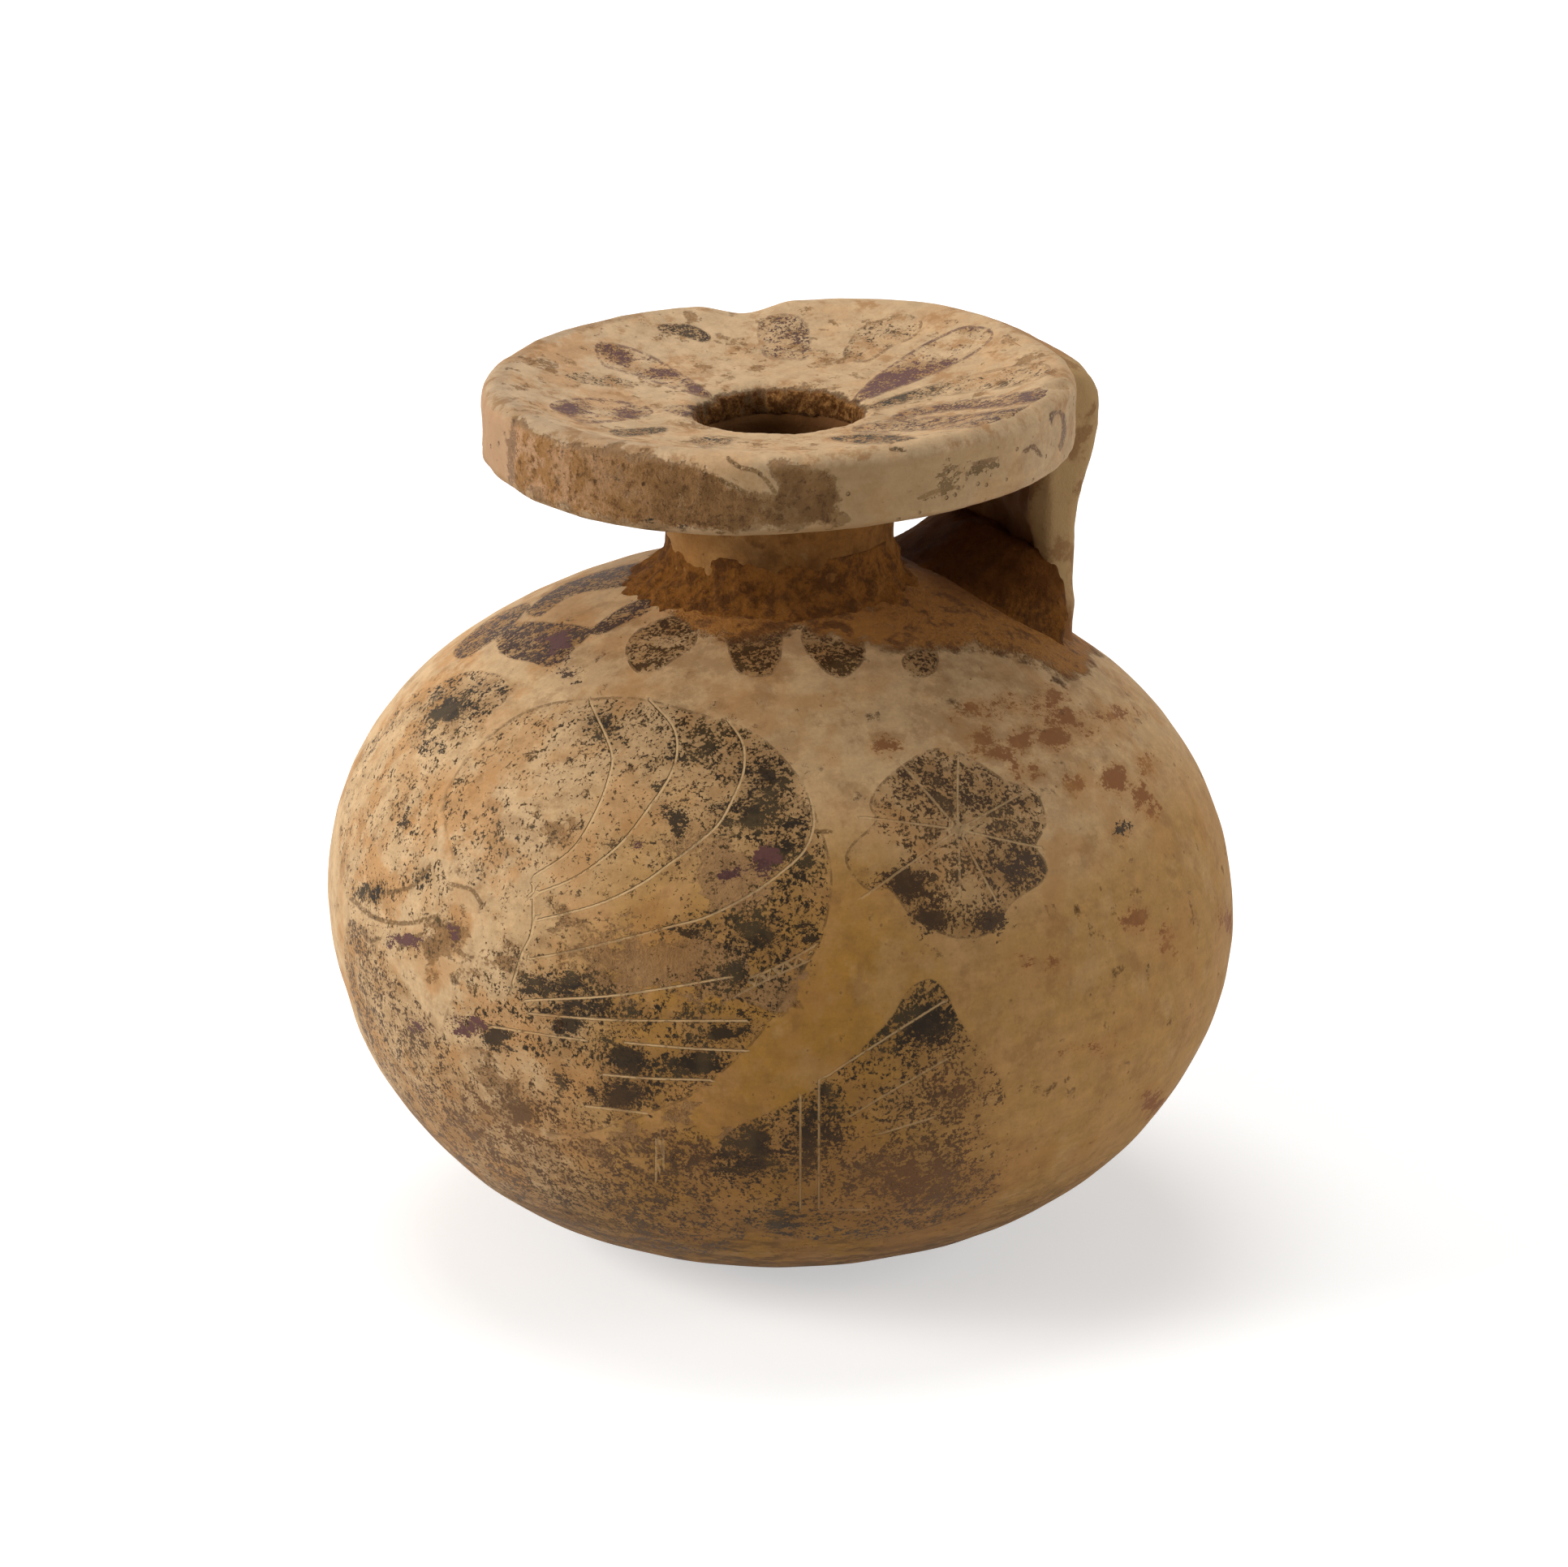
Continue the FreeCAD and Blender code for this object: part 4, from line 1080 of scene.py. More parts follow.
class Tracing:
    """What is drawn on one mesh: every point's distance to the fields, cuts, ink lines and spots."""

    def __init__(self, places, seen):
        self.places = places
        self.seen = seen
        count = len(places)
        self.field = np.full(count, FAR)
        self.tones = {name: np.zeros(count) for name in TONES}
        self.lines = {name: np.tile([FAR, FAR, 0.0], (count, 1)) for name in ("cut", "ink")}
        self.spots = np.full((count, 3), FAR)

    def near(self, outline, closed, margin):
        """The curve through an outline, and which of the seen points lie near it."""
        curve = curve_through(outline, closed)
        low, high = curve.min(axis=0) - margin * PIXELS_PER_MM, curve.max(axis=0) + margin * PIXELS_PER_MM
        return curve, np.flatnonzero(self.seen & np.all((self.places > low) & (self.places < high), axis=1))

    def add_field(self, outline, cover, edge=0.0, purple=0.0, brown=0.0):
        """An area that was painted. Cover is the share of the slip that is still there."""
        curve, picked = self.near(outline, True, FAR)
        outside = outside_by(self.places[picked], curve)
        closer = outside < self.field[picked]
        picked = picked[closer]
        self.field[picked] = outside[closer]
        for tone, value in (("cover", cover), ("edge", edge), ("purple", purple), ("brown", brown)):
            self.tones[tone][picked] = value

    def add_area(self, tone, outline, softness):
        """An area that takes a tone, fading over a softness in millimetres."""
        curve, picked = self.near(outline, True, FAR)
        filled = ease(softness, -softness, outside_by(self.places[picked], curve))
        self.tones[tone][picked] = np.maximum(self.tones[tone][picked], filled)

    def add_wear(self, tone, x, y, reach_x, reach_y, change):
        """A soft spot where more slip, or less, is left, or where another tone changes."""
        gap = ((self.places[:, 0] - x) / reach_x) ** 2 + ((self.places[:, 1] - y) / reach_y) ** 2
        self.tones[tone] += change * np.exp(-SPOT_FALL * gap) * self.seen

    def add_line(self, kind, path, strength):
        """A cut or an inked line, which fades just past its two ends."""
        curve, picked = self.near(path, False, LINE_REACH)
        aside = distance_to(self.places[picked], curve)
        closer = np.abs(aside) < self.lines[kind][picked, 1]
        picked, aside = picked[closer], aside[closer]
        for tip, inner in ((curve[0], curve[1]), (curve[-1], curve[-2])):
            way = (tip - inner) / max(math.dist(tip, inner), TINY)
            strength = strength * ease(TIP_FADE, 0.0, (self.places[picked] - tip) @ way / PIXELS_PER_MM)
        self.lines[kind][picked] = np.stack([aside, np.abs(aside), strength], axis=1)

    def add_spot(self, channel, x, y, reach_x, reach_y):
        """A blot or stain: 0 is dark slip, 1 purple and 2 rust."""
        gap = np.hypot((self.places[:, 0] - x) / reach_x, (self.places[:, 1] - y) / reach_y)
        outside = np.where(self.seen, (gap - 1.0) * min(reach_x, reach_y) / PIXELS_PER_MM, FAR)
        self.spots[:, channel] = np.minimum(self.spots[:, channel], outside)

    def store(self, mesh, fade):
        """Keep everything on the mesh's points, faded where the drawing ends."""
        cover, edge, brown, purple, worn, soil, stain = self.tones.values()
        cover = cover * fade
        self.spots[fade < 0.5] = FAR
        for line in self.lines.values():
            line[:, 2] *= fade
        groups = {
            "slip": np.stack([self.field, np.clip(cover, 0, MOST_COVER), np.maximum(edge, 0) * fade], axis=1),
            "tone": np.clip(np.stack([brown, purple, worn * fade], axis=1), 0, 1),
            "spots": np.minimum(self.spots, FAR),
            "cling": np.stack([soil, stain, 0 * stain], axis=1),
        }
        for name, values in (groups | self.lines).items():
            attribute = mesh.attributes.new(name, "FLOAT_VECTOR", "POINT")
            attribute.data.foreach_set("vector", values.astype(np.float32).ravel())
        print(mesh.name, "has", int((self.field < 0).sum()), "painted points")


print("points take up areas within", FAR, "mm and lines within", LINE_REACH, "mm")

# %% [markdown]
# ### The painted fields of the body
#
# On the left a great wing-like field of feathers, on the right a rosette, and below it the pointed
# end of a second field. Each field is one traced outline. Inside it, soft spots say where much of
# the slip is left and where hardly any is. The unseen half carries the same drawing once more,
# turned halfway round and worn fainter, as a painter repeats a motif round a pot.

# %% Fields of the body
WING = [
    (547, 1006), (549, 979), (561, 956), (584, 926), (630, 887), (676, 868), (727, 862), (769, 860),
    (810, 866), (861, 880), (902, 893), (934, 907), (964, 934), (987, 964), (1003, 1001), (1017, 1042),
    (1024, 1081), (1021, 1115), (1012, 1154), (996, 1184), (960, 1240), (920, 1292), (858, 1345), (812, 1366),
    (760, 1385), (690, 1398), (620, 1375), (570, 1330), (545, 1280), (560, 1225), (590, 1180), (590, 1120),
    (560, 1060),
]
ROSETTE = [
    (1173, 925), (1139, 927), (1091, 961), (1072, 990), (1079, 1013), (1049, 1042), (1043, 1064),
    (1068, 1095), (1096, 1095), (1123, 1128), (1154, 1147), (1188, 1156), (1223, 1147), (1246, 1112),
    (1286, 1084), (1288, 1063), (1275, 1042), (1288, 1015), (1275, 975), (1240, 963), (1211, 944),
]
LOWER_FIELD = [
    (1151, 1207), (1132, 1210), (1114, 1226), (1100, 1251), (1077, 1276), (1050, 1302), (1009, 1336),
    (979, 1354), (937, 1375), (903, 1391), (875, 1425), (880, 1470), (920, 1510), (1010, 1530), (1120, 1520),
    (1220, 1480), (1245, 1420), (1240, 1350), (1220, 1306), (1197, 1279), (1178, 1249), (1167, 1224),
]
FLANK = [
    (432, 1130), (470, 1170), (520, 1240), (560, 1300), (640, 1390), (760, 1402), (850, 1385), (880, 1420),
    (880, 1480), (920, 1520), (860, 1548), (720, 1520), (600, 1460), (520, 1390), (455, 1290), (425, 1190),
]
BROW = [
    (548, 838), (590, 826), (636, 842), (606, 880), (566, 905), (532, 932), (503, 940), (500, 900),
    (520, 862),
]
BEAK = [
    (440, 1068), (450, 1042), (490, 1030), (530, 1050), (528, 1080), (500, 1100), (460, 1108), (444, 1094),
]
LOOP = [
    (546, 940), (530, 942), (508, 966), (498, 1000), (510, 1008), (528, 990), (544, 962),
]
LEFT_SPECKS = [
    (430, 960), (500, 860), (560, 850), (600, 900), (550, 960), (540, 1040), (560, 1120), (540, 1180),
    (460, 1170), (420, 1080),
]
TONGUES = [
    [(772, 808), (775, 790), (790, 775), (812, 765), (835, 758), (852, 765), (858, 785), (850, 800),
     (830, 812), (810, 825), (785, 828)],
    [(893, 775), (905, 766), (925, 768), (950, 766), (962, 780), (962, 800), (958, 822), (945, 832),
     (920, 832), (905, 822), (898, 800)],
    [(988, 780), (1000, 768), (1030, 765), (1055, 780), (1065, 800), (1062, 815), (1045, 832), (1025, 832),
     (1008, 818), (992, 800)],
    [(1112, 815), (1125, 803), (1150, 800), (1156, 815), (1148, 830), (1125, 833)],
    [(1003, 766), (1008, 745), (1030, 728), (1052, 718), (1048, 734), (1024, 750)],
]
SIDE_TONGUES = [
    [(650, 752), (690, 722), (740, 704), (790, 693), (806, 703), (770, 722), (720, 730), (690, 742),
     (665, 760)],
    [(728, 776), (760, 752), (790, 738), (808, 732), (802, 752), (770, 768), (740, 782)],
    [(612, 792), (636, 768), (690, 768), (728, 776), (708, 800), (680, 822), (650, 815), (625, 810)],
    [(560, 800), (600, 765), (650, 742), (640, 762), (606, 790), (570, 812)],
]

# Each painted area with its cover, and then its dark edge, its purple and its brown.
FIELDS = [
    (FLANK, 0.36, 0.0, 0.0, 0.3), (LEFT_SPECKS, 0.2), (WING, 0.22, 0.9), (ROSETTE, 0.34, 0.9, 0.0, 0.2),
    (LOWER_FIELD, 0.3, 0.15), (BROW, 0.3), (BEAK, 0.12, 1.0), (LOOP, 0.35, 1.0),
]
FIELDS += [(tongue, 0.46, 0.9, 0.0, 0.25) for tongue in TONGUES]
FIELDS += [(tongue, 0.58, 0.0, 0.3) for tongue in SIDE_TONGUES]
BACK_FAINTNESS = 0.75
TURNED_EDGE = 0.15

body_places = points_of(body_mesh)
body_normals = points_of(body_mesh, "normal", 1.0)
facing = body_normals @ LOOK
flip = np.where(facing > 0, -1.0, 1.0)[:, None] * (1.0, 1.0, 0.0) + UPRIGHT
turned_places = body_places * flip
turned_normals = body_normals * flip
outer_side = np.einsum("ij,ij->i", turned_normals, turned_places - UPRIGHT * EQUATOR) > 0
body_seen = (turned_normals @ LOOK < GRAZING) & outer_side
body_fade = ease(0.0, TURNED_EDGE, np.abs(facing)) * np.where(facing > 0, BACK_FAINTNESS, 1.0)
drawing = Tracing(in_picture(turned_places), body_seen)
for painted, *amounts in FIELDS:
    drawing.add_field(painted, *amounts)
print("painted areas of the body:", len(FIELDS))

# %% [markdown]
# ### Wear and soil of the body
#
# Each soft spot has a place and a reach across and down in the picture, and the change that it
# makes. Under the plate and round the neck's foot the soil clings in one traced area.

# %% Wear of the body
# Soft spots: x, y, reach across, reach down, change.
WEAR = [
    (880, 920, 90, 44, 0.29), (950, 965, 40, 46, 0.24), (745, 895, 40, 28, 0.22), (920, 1000, 50, 26, 0.2),
    (610, 1030, 60, 50, 0.06), (980, 1085, 36, 70, 0.36), (955, 1030, 40, 30, 0.2), (880, 1135, 70, 24, 0.2),
    (930, 1165, 50, 40, 0.36), (890, 1208, 80, 16, 0.42), (700, 1215, 60, 20, 0.35),
    (740, 1245, 110, 18, 0.3), (885, 1270, 60, 22, 0.25), (800, 1315, 74, 20, 0.42),
    (775, 1350, 56, 16, 0.46), (870, 1310, 44, 18, 0.36), (700, 1290, 60, 14, 0.3), (640, 1370, 70, 25, 0.22),
    (860, 1425, 40, 18, 0.35), (770, 1480, 110, 35, 0.12), (640, 960, 70, 60, -0.08),
    (820, 1185, 110, 34, -0.19), (740, 1120, 110, 30, -0.14), (870, 1100, 80, 36, -0.11),
    (640, 1110, 60, 60, -0.1), (560, 1180, 40, 60, -0.1), (1140, 975, 46, 34, 0.32),
    (1256, 1066, 34, 36, 0.5), (1222, 985, 50, 34, 0.22), (1115, 1092, 34, 16, 0.7),
    (1146, 1132, 24, 18, 0.65), (1222, 1136, 24, 14, 0.6), (1078, 1050, 34, 40, -0.4),
    (1180, 1100, 34, 24, -0.14), (1150, 1258, 36, 34, 0.55), (1112, 1272, 54, 28, 0.3),
    (1180, 1345, 60, 40, 0.26), (1012, 1392, 34, 40, 0.5), (930, 1420, 46, 34, 0.35),
    (1130, 1450, 100, 46, 0.3), (1060, 1400, 30, 30, -0.2), (556, 870, 50, 34, 0.28),
    (1232, 1400, 36, 90, -0.3), (456, 1100, 18, 10, 0.8), (520, 1080, 16, 10, 0.4), (820, 768, 30, 10, 0.4),
    (925, 806, 34, 14, 0.4), (1036, 814, 34, 14, 0.4), (930, 782, 20, 10, -0.25), (1030, 782, 20, 10, -0.3),
    (820, 790, 20, 10, -0.25),
]
BROWNED = [
    (1130, 1450, 130, 60, 1.0), (1190, 1340, 60, 50, 0.8), (700, 1400, 200, 60, 0.35),
    (620, 1370, 60, 40, 0.5),
]
RUBBED = [
    (830, 1190, 120, 50, 1.0), (905, 1085, 64, 36, 0.9), (575, 1175, 64, 54, 0.56), (960, 1230, 40, 30, 0.7),
    (700, 1010, 60, 40, 0.5), (850, 1040, 60, 26, 0.6), (700, 1150, 60, 40, 0.35), (1160, 1120, 60, 30, 0.3),
    (1060, 1440, 100, 50, 0.45), (760, 1400, 180, 60, 0.45), (600, 1330, 60, 50, 0.5),
    (780, 900, 50, 24, 0.4),
]
STAINED = [
    (700, 1400, 200, 90, 0.5), (560, 1340, 80, 90, 0.45), (760, 900, 120, 60, 0.25), (600, 880, 60, 40, 0.5),
    (1250, 905, 120, 60, 0.8), (1010, 1460, 200, 90, 0.8), (1150, 1470, 160, 80, 0.8),
    (560, 1150, 80, 60, 0.4), (820, 860, 160, 40, 0.3), (1080, 1180, 60, 60, 0.25),
    (840, 1120, 200, 130, 0.3), (790, 1270, 200, 100, 0.35), (940, 800, 130, 34, 1.3),
    (1330, 1140, 60, 80, 0.25), (1160, 1030, 120, 100, 0.25), (980, 860, 200, 30, 0.2),
    (560, 960, 100, 100, 0.2),
]
SOILED = [
    (800, 690), (805, 735), (832, 764), (870, 786), (930, 784), (990, 772), (1010, 784), (1060, 796),
    (1125, 800), (1200, 800), (1256, 806), (1312, 834), (1345, 820), (1345, 700), (1250, 640), (1100, 620),
    (950, 640),
]
SOIL_SOFTNESS = 1.2

for tone, spots in (("cover", WEAR), ("brown", BROWNED), ("worn", RUBBED), ("stain", STAINED)):
    for spot in spots:
        drawing.add_wear(tone, *spot)
    print("soft spots of", tone + ":", len(spots))
drawing.add_wear("edge", 570, 1150, 60, 130, -0.9)
drawing.add_area("soil", SOILED, SOIL_SOFTNESS)

# %% [markdown]
# ### Cut lines and blots
#
# The cuts were made with a point after painting: sweeping arcs for the feathers, eight spokes for
# the rosette and nearly level lines across the lower wing. They are listed from their first point
# to their last. Blots are small ellipses of slip that stayed, or of purple and rust.

# %% Cuts and blots of the body
ROSETTE_MIDDLE = (1181, 1022)
CUTS = [
    ([(727, 865), (753, 925), (750, 959), (734, 1001), (705, 1047), (657, 1080)], 0.9),
    ([(801, 863), (829, 895), (834, 927), (824, 959), (799, 996), (769, 1035), (734, 1065), (700, 1086),
      (653, 1104)], 1.0),
    ([(897, 888), (915, 916), (916, 950), (904, 982), (884, 1017), (849, 1047), (824, 1065), (792, 1088),
      (746, 1111), (700, 1125), (657, 1135)], 1.0),
    ([(998, 982), (1003, 1014), (992, 1047), (964, 1074), (930, 1099), (902, 1115), (865, 1132), (829, 1141),
      (780, 1154), (700, 1173), (650, 1182)], 0.8),
    ([(657, 1091), (656, 1146), (643, 1176), (629, 1221)], 0.8),
    ([(647, 1233), (744, 1228), (812, 1219), (900, 1204)], 1.0),
    ([(652, 1249), (757, 1257), (920, 1258)], 0.9),
    ([(606, 1265), (675, 1276), (721, 1282)], 0.8),
    ([(771, 1285), (850, 1292), (920, 1295)], 1.0),
    ([(741, 1324), (800, 1329), (877, 1331)], 1.0),
    ([(721, 1363), (796, 1372)], 0.7),
    ([(996, 1184), (950, 1205), (905, 1228)], 0.5),
    ([(1005, 1165), (960, 1190), (925, 1205)], 0.5),
    ([(808, 1405), (808, 1455)], 0.5),
    ([(817, 1405), (817, 1439)], 0.4),
    ([(1165, 1233), (1108, 1269), (1050, 1306), (1018, 1327)], 0.7),
    ([(1169, 1304), (1107, 1340), (1045, 1377)], 0.4),
    ([(1151, 1377), (1082, 1398)], 0.5),
    ([(1009, 1329), (1009, 1490)], 0.6),
    ([(986, 1350), (986, 1490)], 0.5),
    ([(1018, 1491), (1068, 1491)], 0.5),
]
SPOKES = [
    ([(1180, 980), (1181, 932)], 0.6),
    ([(1110, 940)], 0.45),
    ([(1120, 1014), (1060, 1007)], 0.5),
    ([(1060, 1108)], 0.45),
    ([(1204, 1066), (1228, 1110)], 0.55),
    ([(1232, 1034), (1284, 1045)], 0.6),
    ([(1259, 978)], 0.45),
    ([(1183, 1108)], 0.3),
]
INKED = [
    ([(473, 1101), (488, 1098), (510, 1091), (529, 1068)], 0.8),
    ([(448, 1148), (455, 1160), (466, 1156)], 0.8),
    ([(519, 1151), (505, 1158), (492, 1169)], 0.9),
    ([(549, 1140), (560, 1140), (566, 1152), (558, 1164)], 0.8),
    ([(556, 1090), (580, 1096), (592, 1112)], 0.6),
    ([(434, 1108), (460, 1130), (500, 1138), (540, 1128)], 0.5),
    ([(1003, 1024), (1012, 1025), (1021, 1024)], 0.9),
    ([(985, 773), (965, 774)], 0.6),
]

# Blots: x, y, half width, half height.
DARK_BLOTS = [
    (832, 1014, 11, 15), (847, 1148, 13, 7), (934, 1154, 13, 13), (654, 1217, 14, 10), (702, 1214, 13, 11),
    (707, 1237, 10, 6), (734, 1237, 11, 6), (698, 1262, 16, 10), (608, 1279, 16, 10), (773, 1306, 18, 16),
    (767, 1350, 20, 15), (858, 1311, 14, 12), (647, 1373, 10, 7), (551, 877, 14, 12), (533, 919, 7, 6),
    (500, 1006, 5, 5), (948, 958, 14, 10), (890, 1005, 9, 12), (924, 995, 8, 16), (1018, 1352, 7, 7),
    (998, 1373, 8, 10), (997, 1407, 7, 16), (996, 1428, 7, 6), (933, 1410, 14, 14), (914, 1437, 18, 7),
    (968, 1505, 15, 9), (1115, 1090, 16, 10), (1146, 1135, 13, 9), (1220, 1136, 12, 8), (1140, 1262, 12, 14),
    (885, 1272, 7, 6), (905, 1190, 12, 10), (1000, 1150, 6, 10), (744, 895, 9, 9), (690, 1330, 6, 5),
    (694, 828, 6, 6), (760, 1270, 8, 6), (1380, 1023, 5, 5), (920, 1258, 8, 6), (955, 1235, 6, 6),
]
PURPLE_BLOTS = [
    (943, 1060, 17, 16), (578, 1265, 17, 12), (890, 1074, 12, 6), (558, 1152, 5, 9), (500, 1160, 14, 6),
    (513, 1265, 7, 7), (790, 1040, 10, 5), (690, 790, 16, 12),
]
RUST_BLOTS = [
    (1210, 909, 9, 6), (1214, 928, 8, 6), (1233, 928, 8, 5), (1258, 912, 14, 13), (1297, 907, 16, 12),
    (1214, 872, 14, 5), (1245, 868, 14, 5), (1276, 872, 14, 5), (1309, 887, 14, 6), (1336, 898, 9, 5),
    (1256, 950, 8, 5), (1272, 952, 7, 5), (1325, 967, 8, 6), (1375, 962, 15, 16), (1412, 944, 9, 8),
    (1407, 981, 7, 10), (1419, 997, 6, 6), (1403, 1137, 13, 12), (1435, 1164, 9, 14), (1511, 1134, 5, 8),
    (1299, 857, 10, 5), (1375, 882, 14, 6), (1262, 1184, 6, 4), (1300, 1184, 5, 4), (1352, 1290, 12, 4),
    (1090, 918, 12, 9), (1420, 1360, 10, 14),
]

CUTS += [([ROSETTE_MIDDLE, *path], strength) for path, strength in SPOKES]
for kind, lines in (("cut", CUTS), ("ink", INKED)):
    for path, strength in lines:
        drawing.add_line(kind, path, strength)
for channel, blots in enumerate((DARK_BLOTS, PURPLE_BLOTS, RUST_BLOTS)):
    for blot in blots:
        drawing.add_spot(channel, *blot)
drawing.store(body_mesh, body_fade)

# %% [markdown]
# ### Tongues on the dish
#
# Short tongues ring the mouth. One is still deep purple, some keep their dark outline and the rest
# are grey traces. The plate's band was rubbed rough on the left, where the cream surface is gone.

# %% Drawing on the plate
DISH_TONGUES = [
    ([(1052, 492), (1075, 468), (1100, 450), (1130, 430), (1165, 412), (1190, 403), (1215, 405), (1222, 415),
      (1200, 435), (1175, 448), (1150, 460), (1120, 472), (1085, 485), (1060, 494)], 0.08, 1.0, 1.0),
    ([(1040, 438), (1045, 425), (1060, 405), (1085, 395), (1110, 388), (1130, 393), (1135, 400), (1125, 415),
      (1100, 425), (1075, 442), (1055, 445)], 0.2, 0.9, 0.1),
    ([(935, 400), (937, 425), (945, 440), (970, 442), (995, 440), (997, 410), (985, 392),
      (960, 388)], 0.3, 0.6, 0.6),
    ([(1070, 500), (1130, 480), (1200, 462), (1260, 450), (1290, 450), (1288, 462), (1250, 475), (1200, 482),
      (1130, 492), (1080, 505)], 0.26, 0.6, 0.0),
    ([(1095, 518), (1120, 505), (1180, 495), (1250, 485), (1290, 480), (1292, 490), (1240, 500), (1180, 505),
      (1130, 512)], 0.4, 0.7, 0.7),
    ([(1050, 530), (1080, 520), (1140, 515), (1200, 510), (1260, 502), (1285, 500), (1250, 515), (1200, 525),
      (1130, 530), (1080, 532)], 0.36, 0.7, 0.5),
    ([(1020, 540), (1060, 535), (1100, 536), (1130, 540), (1100, 545), (1060, 547)], 0.55, 0.4, 0.0),
    ([(735, 425), (755, 424), (800, 438), (850, 468), (876, 488), (850, 484), (800, 468), (760, 455),
      (742, 448)], 0.16, 0.9, 0.9),
    ([(678, 500), (700, 493), (740, 492), (790, 500), (802, 510), (760, 518), (720, 520),
      (700, 512)], 0.16, 1.0, 0.9),
    ([(695, 462), (730, 458), (780, 470), (786, 478), (740, 476), (705, 470)], 0.3, 0.0, 0.0),
    ([(812, 400), (850, 400), (876, 414), (866, 422), (840, 414), (815, 410)], 0.5, 0.0, 0.1),
    ([(750, 530), (780, 528), (815, 526), (822, 532), (790, 537), (762, 538)], 0.5, 0.0, 0.0),
    ([(850, 540), (880, 537), (902, 542), (890, 549), (864, 550)], 0.4, 0.5, 0.0),
    ([(815, 503), (850, 498), (880, 504), (870, 512), (840, 514)], 0.35, 0.0, 0.7),
]
BAND_RUBBED = [
    (632, 512), (650, 528), (690, 545), (740, 550), (762, 546), (775, 560), (830, 566), (870, 577),
    (900, 600), (940, 612), (962, 612), (950, 580), (960, 570), (992, 572), (1028, 590), (1030, 625),
    (1040, 642), (1000, 646), (900, 652), (800, 645), (700, 628), (646, 604), (630, 570),
]
PLATE_WEAR = [
    (1085, 478, 40, 20, 0.95), (1130, 460, 30, 16, 0.7), (1170, 448, 16, 8, 0.6), (1190, 406, 18, 6, 0.6),
    (768, 442, 12, 8, 0.8), (815, 460, 26, 8, 0.6), (862, 476, 20, 10, 0.7), (750, 426, 18, 8, 0.5),
    (700, 504, 24, 10, 0.7), (775, 510, 16, 7, 0.8), (1270, 488, 26, 8, 0.4), (1220, 505, 60, 8, 0.3),
]
PLATE_INKED = [
    ([(1296, 510), (1308, 508), (1311, 530), (1306, 552), (1296, 562), (1292, 540), (1296, 510)], 0.8),
    ([(1264, 556), (1273, 550), (1281, 560)], 0.8),
    ([(1136, 613), (1155, 605), (1174, 601)], 1.0),
    ([(1202, 572), (1216, 568), (1226, 566)], 0.7),
    ([(1100, 553), (1112, 554)], 0.8),
    ([(632, 520), (633, 560), (628, 598)], 0.6),
    ([(898, 566), (912, 576), (930, 580), (944, 592), (958, 612)], 0.7),
    ([(880, 590), (902, 598), (926, 612)], 0.6),
    ([(690, 556), (704, 570), (716, 574), (722, 590)], 0.6),
]
PLATE_BLOTS = [
    (738, 590, 12, 5), (728, 576, 6, 8), (833, 604, 9, 11), (870, 603, 11, 7), (800, 626, 9, 8),
    (815, 640, 14, 5), (695, 600, 6, 5), (648, 585, 5, 5), (890, 630, 6, 10), (1168, 602, 8, 4),
    (1178, 585, 6, 5), (1210, 575, 6, 4),
]
DISH_REACH = 20.6
DISH_WORN = 0.25
BAND_SOFTNESS = 1.2

plate_places = points_of(plate_mesh)
plate_drawing = Tracing(in_picture(plate_places), points_of(plate_mesh, "normal", 1.0) @ LOOK < GRAZING)
for tongue, *amounts in DISH_TONGUES:
    plate_drawing.add_field(tongue, *amounts)
on_dish = reach_of(plate_places) < DISH_REACH
plate_drawing.field[~on_dish] = FAR
for spot in PLATE_WEAR:
    plate_drawing.add_wear("cover", *spot)
plate_drawing.add_area("worn", BAND_RUBBED, BAND_SOFTNESS)
plate_drawing.tones["worn"][on_dish] = DISH_WORN
for path, strength in PLATE_INKED:
    plate_drawing.add_line("ink", path, strength)
for blot in PLATE_BLOTS:
    plate_drawing.add_spot(0, *blot)
plate_drawing.store(plate_mesh, np.ones(len(plate_places)))

# %% [markdown]
# ## Fired clay
#
# All pieces are the same pale, ochre clay, so one function gives its cloudy colour, fine grain,
# level wheel marks, stains and pits. Each finish then adds what is its own: slip and cuts on the
# body, crust in the joints, wear on the rim. Sizes are in millimetres, and the limits of each step
# were set against the photograph. A painted texture would hold more detail, but it could
# not be measured or changed by a number.

# %% Fired clay
# The pale, shoulder and deep tones are partly the clay's own and partly painted light: lit left, lit top and
# shade low on the right.
PALE_CLAY_AND_LIGHT = (0.52, 0.35, 0.19)
SHOULDER_CLAY_AND_LIGHT = (0.50, 0.325, 0.165)
HOLLOW_CLAY = (0.335, 0.160, 0.026)
DEEP_CLAY_AND_SHADE = (0.39, 0.213, 0.068)
ROSY_CLAY = (0.44, 0.235, 0.095)
BROWN_STAIN = (0.21, 0.10, 0.035)


